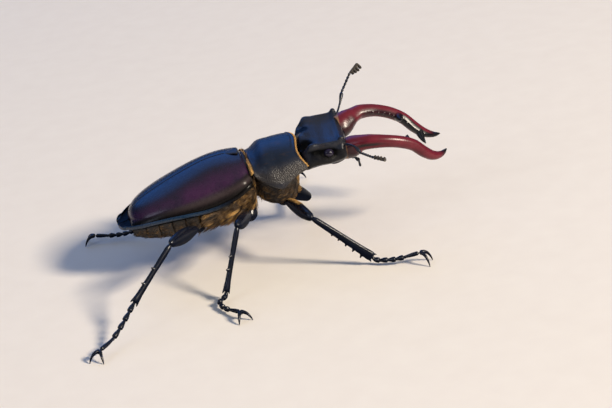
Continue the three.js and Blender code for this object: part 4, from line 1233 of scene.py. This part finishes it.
# The faces of one sliver: a three-sided spike of ten points, three rings and a tip.
SLIVER = [(3 * k + j, 3 * k + (j + 1) % 3, 3 * k + 3 + (j + 1) % 3, 3 * k + 3 + j)
          for k in (0, 1) for j in range(3)]
SLIVER += [(6, 7, 9), (7, 8, 9), (8, 6, 9), (2, 1, 0)]
BANDS = np.array([0.0, 0.35, 0.7])


cad_reach = (cad_box[0].x / MM - WAIST[0], cad_box[1].x / MM - WAIST[0])


def round_body(roots):
    """An unwrap like a label round the body: along it, and the angle round its axis."""
    u = (roots[:, 0] - cad_reach[0]) / (cad_reach[1] - cad_reach[0])
    angle = np.arctan2(roots[:, 1], roots[:, 2] - WAIST_HEIGHT)
    return np.clip(np.stack([u, angle / (2 * math.pi) + 0.5], -1), 0, 1)


def coat(name, roots, outs, way, length, girth, lift, wild, tone, locks=0):
    """Slivers of half width girth that start at the roots and lie along way, lifted off the skin
    towards their ends, strewn by wild and matted into locks. Tone is the range of their shades."""
    count = len(roots)
    way = np.broadcast_to(way, roots.shape) + random.normal(0, wild, roots.shape)
    flat = unit(way - outs * (way * outs).sum(1, keepdims=True))
    size = length * random.uniform(0.6, 1.2, count)[:, None]
    side = np.cross(outs, flat)
    sway = random.normal(0, 0.15, count)[:, None]
    ends = roots + flat * size + outs * size * lift + side * sway * size
    shades = random.uniform(*tone, count)
    pull = np.zeros_like(roots)
    if locks:
        leader = ((roots[:, None] - roots[None, :locks]) ** 2).sum(-1).argmin(1)
        pull = 0.7 * (ends[leader] - ends)
        shades = 0.75 * shades[leader] + 0.25 * shades
    rings = []
    for t in BANDS:
        rise = outs * (size * lift * t ** 1.3 + 0.02)
        middle = roots + flat * size * t + rise + (side * sway * size + pull) * t ** 2
        for corner in (0, 1, 2):
            turned = 2 * math.pi * corner / 3
            across = side * math.cos(turned) + outs * math.sin(turned) * 0.6
            rings.append(middle + across * girth * (1 - t) ** 0.6)
    points = np.stack(rings + [ends + pull], 1)
    starts = np.arange(count) * 10
    loops = np.concatenate([np.array(face) for face in SLIVER])
    every = (starts[:, None] + loops[None]).ravel()
    sizes = np.tile([len(face) for face in SLIVER], count)
    mesh = bpy.data.meshes.new(name)
    mesh.vertices.add(count * 10)
    mesh.vertices.foreach_set("co", points.reshape(-1).astype(np.float32))
    mesh.loops.add(len(every))
    mesh.loops.foreach_set("vertex_index", every.astype(np.int32))
    mesh.polygons.add(len(sizes))
    first = np.concatenate([[0], np.cumsum(sizes)[:-1]])
    mesh.polygons.foreach_set("loop_start", first.astype(np.int32))
    mesh.update(calc_edges=True)
    mesh.shade_smooth()
    made = show(name, mesh)
    step = np.tile(np.repeat(np.append(BANDS, 1.0), [3, 3, 3, 1]), count)
    mark(made, "along", step)
    mark(made, "shade", np.repeat(shades, 10))
    # Each sliver's patch of the map, about 0.003 across, at its root's place on the unwrap.
    corner_share = np.tile([0, 1, 2, 0, 1, 2, 0, 1, 2, 1], count) / 2
    inset = 0.003 * np.stack([step, corner_share], -1)
    patch = np.repeat(0.02 + 0.955 * round_body(roots), 10, axis=0) + inset
    layer = mesh.uv_layers.new(name="OFBake")
    layer.uv.foreach_set("vector", patch[every].astype(np.float32).ravel())
    settle(made, bristle, "golden_hair")


# Fringes along the pronotum's back edge, pointing back, and its front edge, pointing forward. Rows
# are the name, the station on the pronotum, the way along x, the length and the inset.
FRINGES = [["rear", 0.0, -1, 0.8, 0.3], ["front", 1.0, 1, 0.4, 0.12]]
FRINGE_COUNT = 5200
for name, u, way, length, inset in FRINGES:
    v = np.sin(random.uniform(-0.5, 0.5, FRINGE_COUNT) * math.pi) * 0.985
    roots = pronotum_line(u, v, 0.99, -0.2 * (way + 1) / 2) + random.normal(0, 0.04, (len(v), 3))
    roots[:, 0] -= way * inset
    outs = unit(np.stack([0 * v, v ** 3 * 0.8, 1 - np.abs(v) ** 3 * 0.7], -1))
    coat(f"{name}_fringe", roots, outs, (way, 0, 0), length, 0.05, lift=0.1, wild=0.15, tone=(0.6, 1))

# Matted hair on the breast, on the flanks under the wing cases and, thinner, on the belly.
breast_roots = roots_on([breast], lambda p, n: smooth(-n[:, 2], -0.3, 0.2), count=5200)
throat_roots = roots_on(
    [breast], lambda p, n: smooth(p[:, 0], 9.4, 10.4) * smooth(p[:, 2], 16.5, 18.5) + 1e-6, count=900)
coat("throat_tuft", *throat_roots, (0.5, 0, -1), 1.0, 0.05, lift=0.25, wild=0.3, tone=(0.5, 1), locks=60)
coat("breast_hair", *breast_roots, (-1, 0, -0.3), 1.3, 0.05, lift=0.12, wild=0.3, tone=(0, 0.6), locks=260)
flank_roots = roots_on(
    [block, neck], lambda p, n: smooth(-n[:, 2], -0.6, 0.1) * (0.4 + smooth(p[:, 0], -14, -2)), count=9500)
coat("flank_hair", *flank_roots, (-1, 0, -0.12), 2.9, 0.055, lift=0.26, wild=0.22, tone=(0, 1), locks=420)
belly_roots = roots_on([abdomen], lambda p, n: smooth(-n[:, 2], -0.2, 0.3), count=5000)
coat("belly_hair", *belly_roots, (-1, 0, 0), 1.0, 0.045, lift=0.12, wild=0.25, tone=(0, 0.6), locks=320)

# The gold patch on the upper front of each front thigh.
for side, s in SIDES:
    hip, knee = np.array(COXAE["front"][1]) * [1, s, 1], np.array(LEGS[f"front_{side}"][0])
    reach = np.linalg.norm(knee - hip)

    def patch(p, n, hip=hip, knee=knee, reach=reach):
        """Where the patch grows: the hip end of the thigh, on its upper front."""
        t = ((p - hip) @ (knee - hip)) / reach ** 2
        facing = smooth(0.5 * n[:, 0] + 0.85 * n[:, 2], 0.25, 0.7)
        return smooth(t, 0.06, 0.14) * (1 - smooth(t, 0.5, 0.66)) * facing + 1e-6

    roots, outs = roots_on([femora[f"front_{side}"]], patch, count=3600)
    way = unit(knee - hip)
    coat(f"thigh_hair_{side}", roots, outs, way, 0.55, 0.045, lift=0.1, wild=0.2, tone=(0.6, 1))
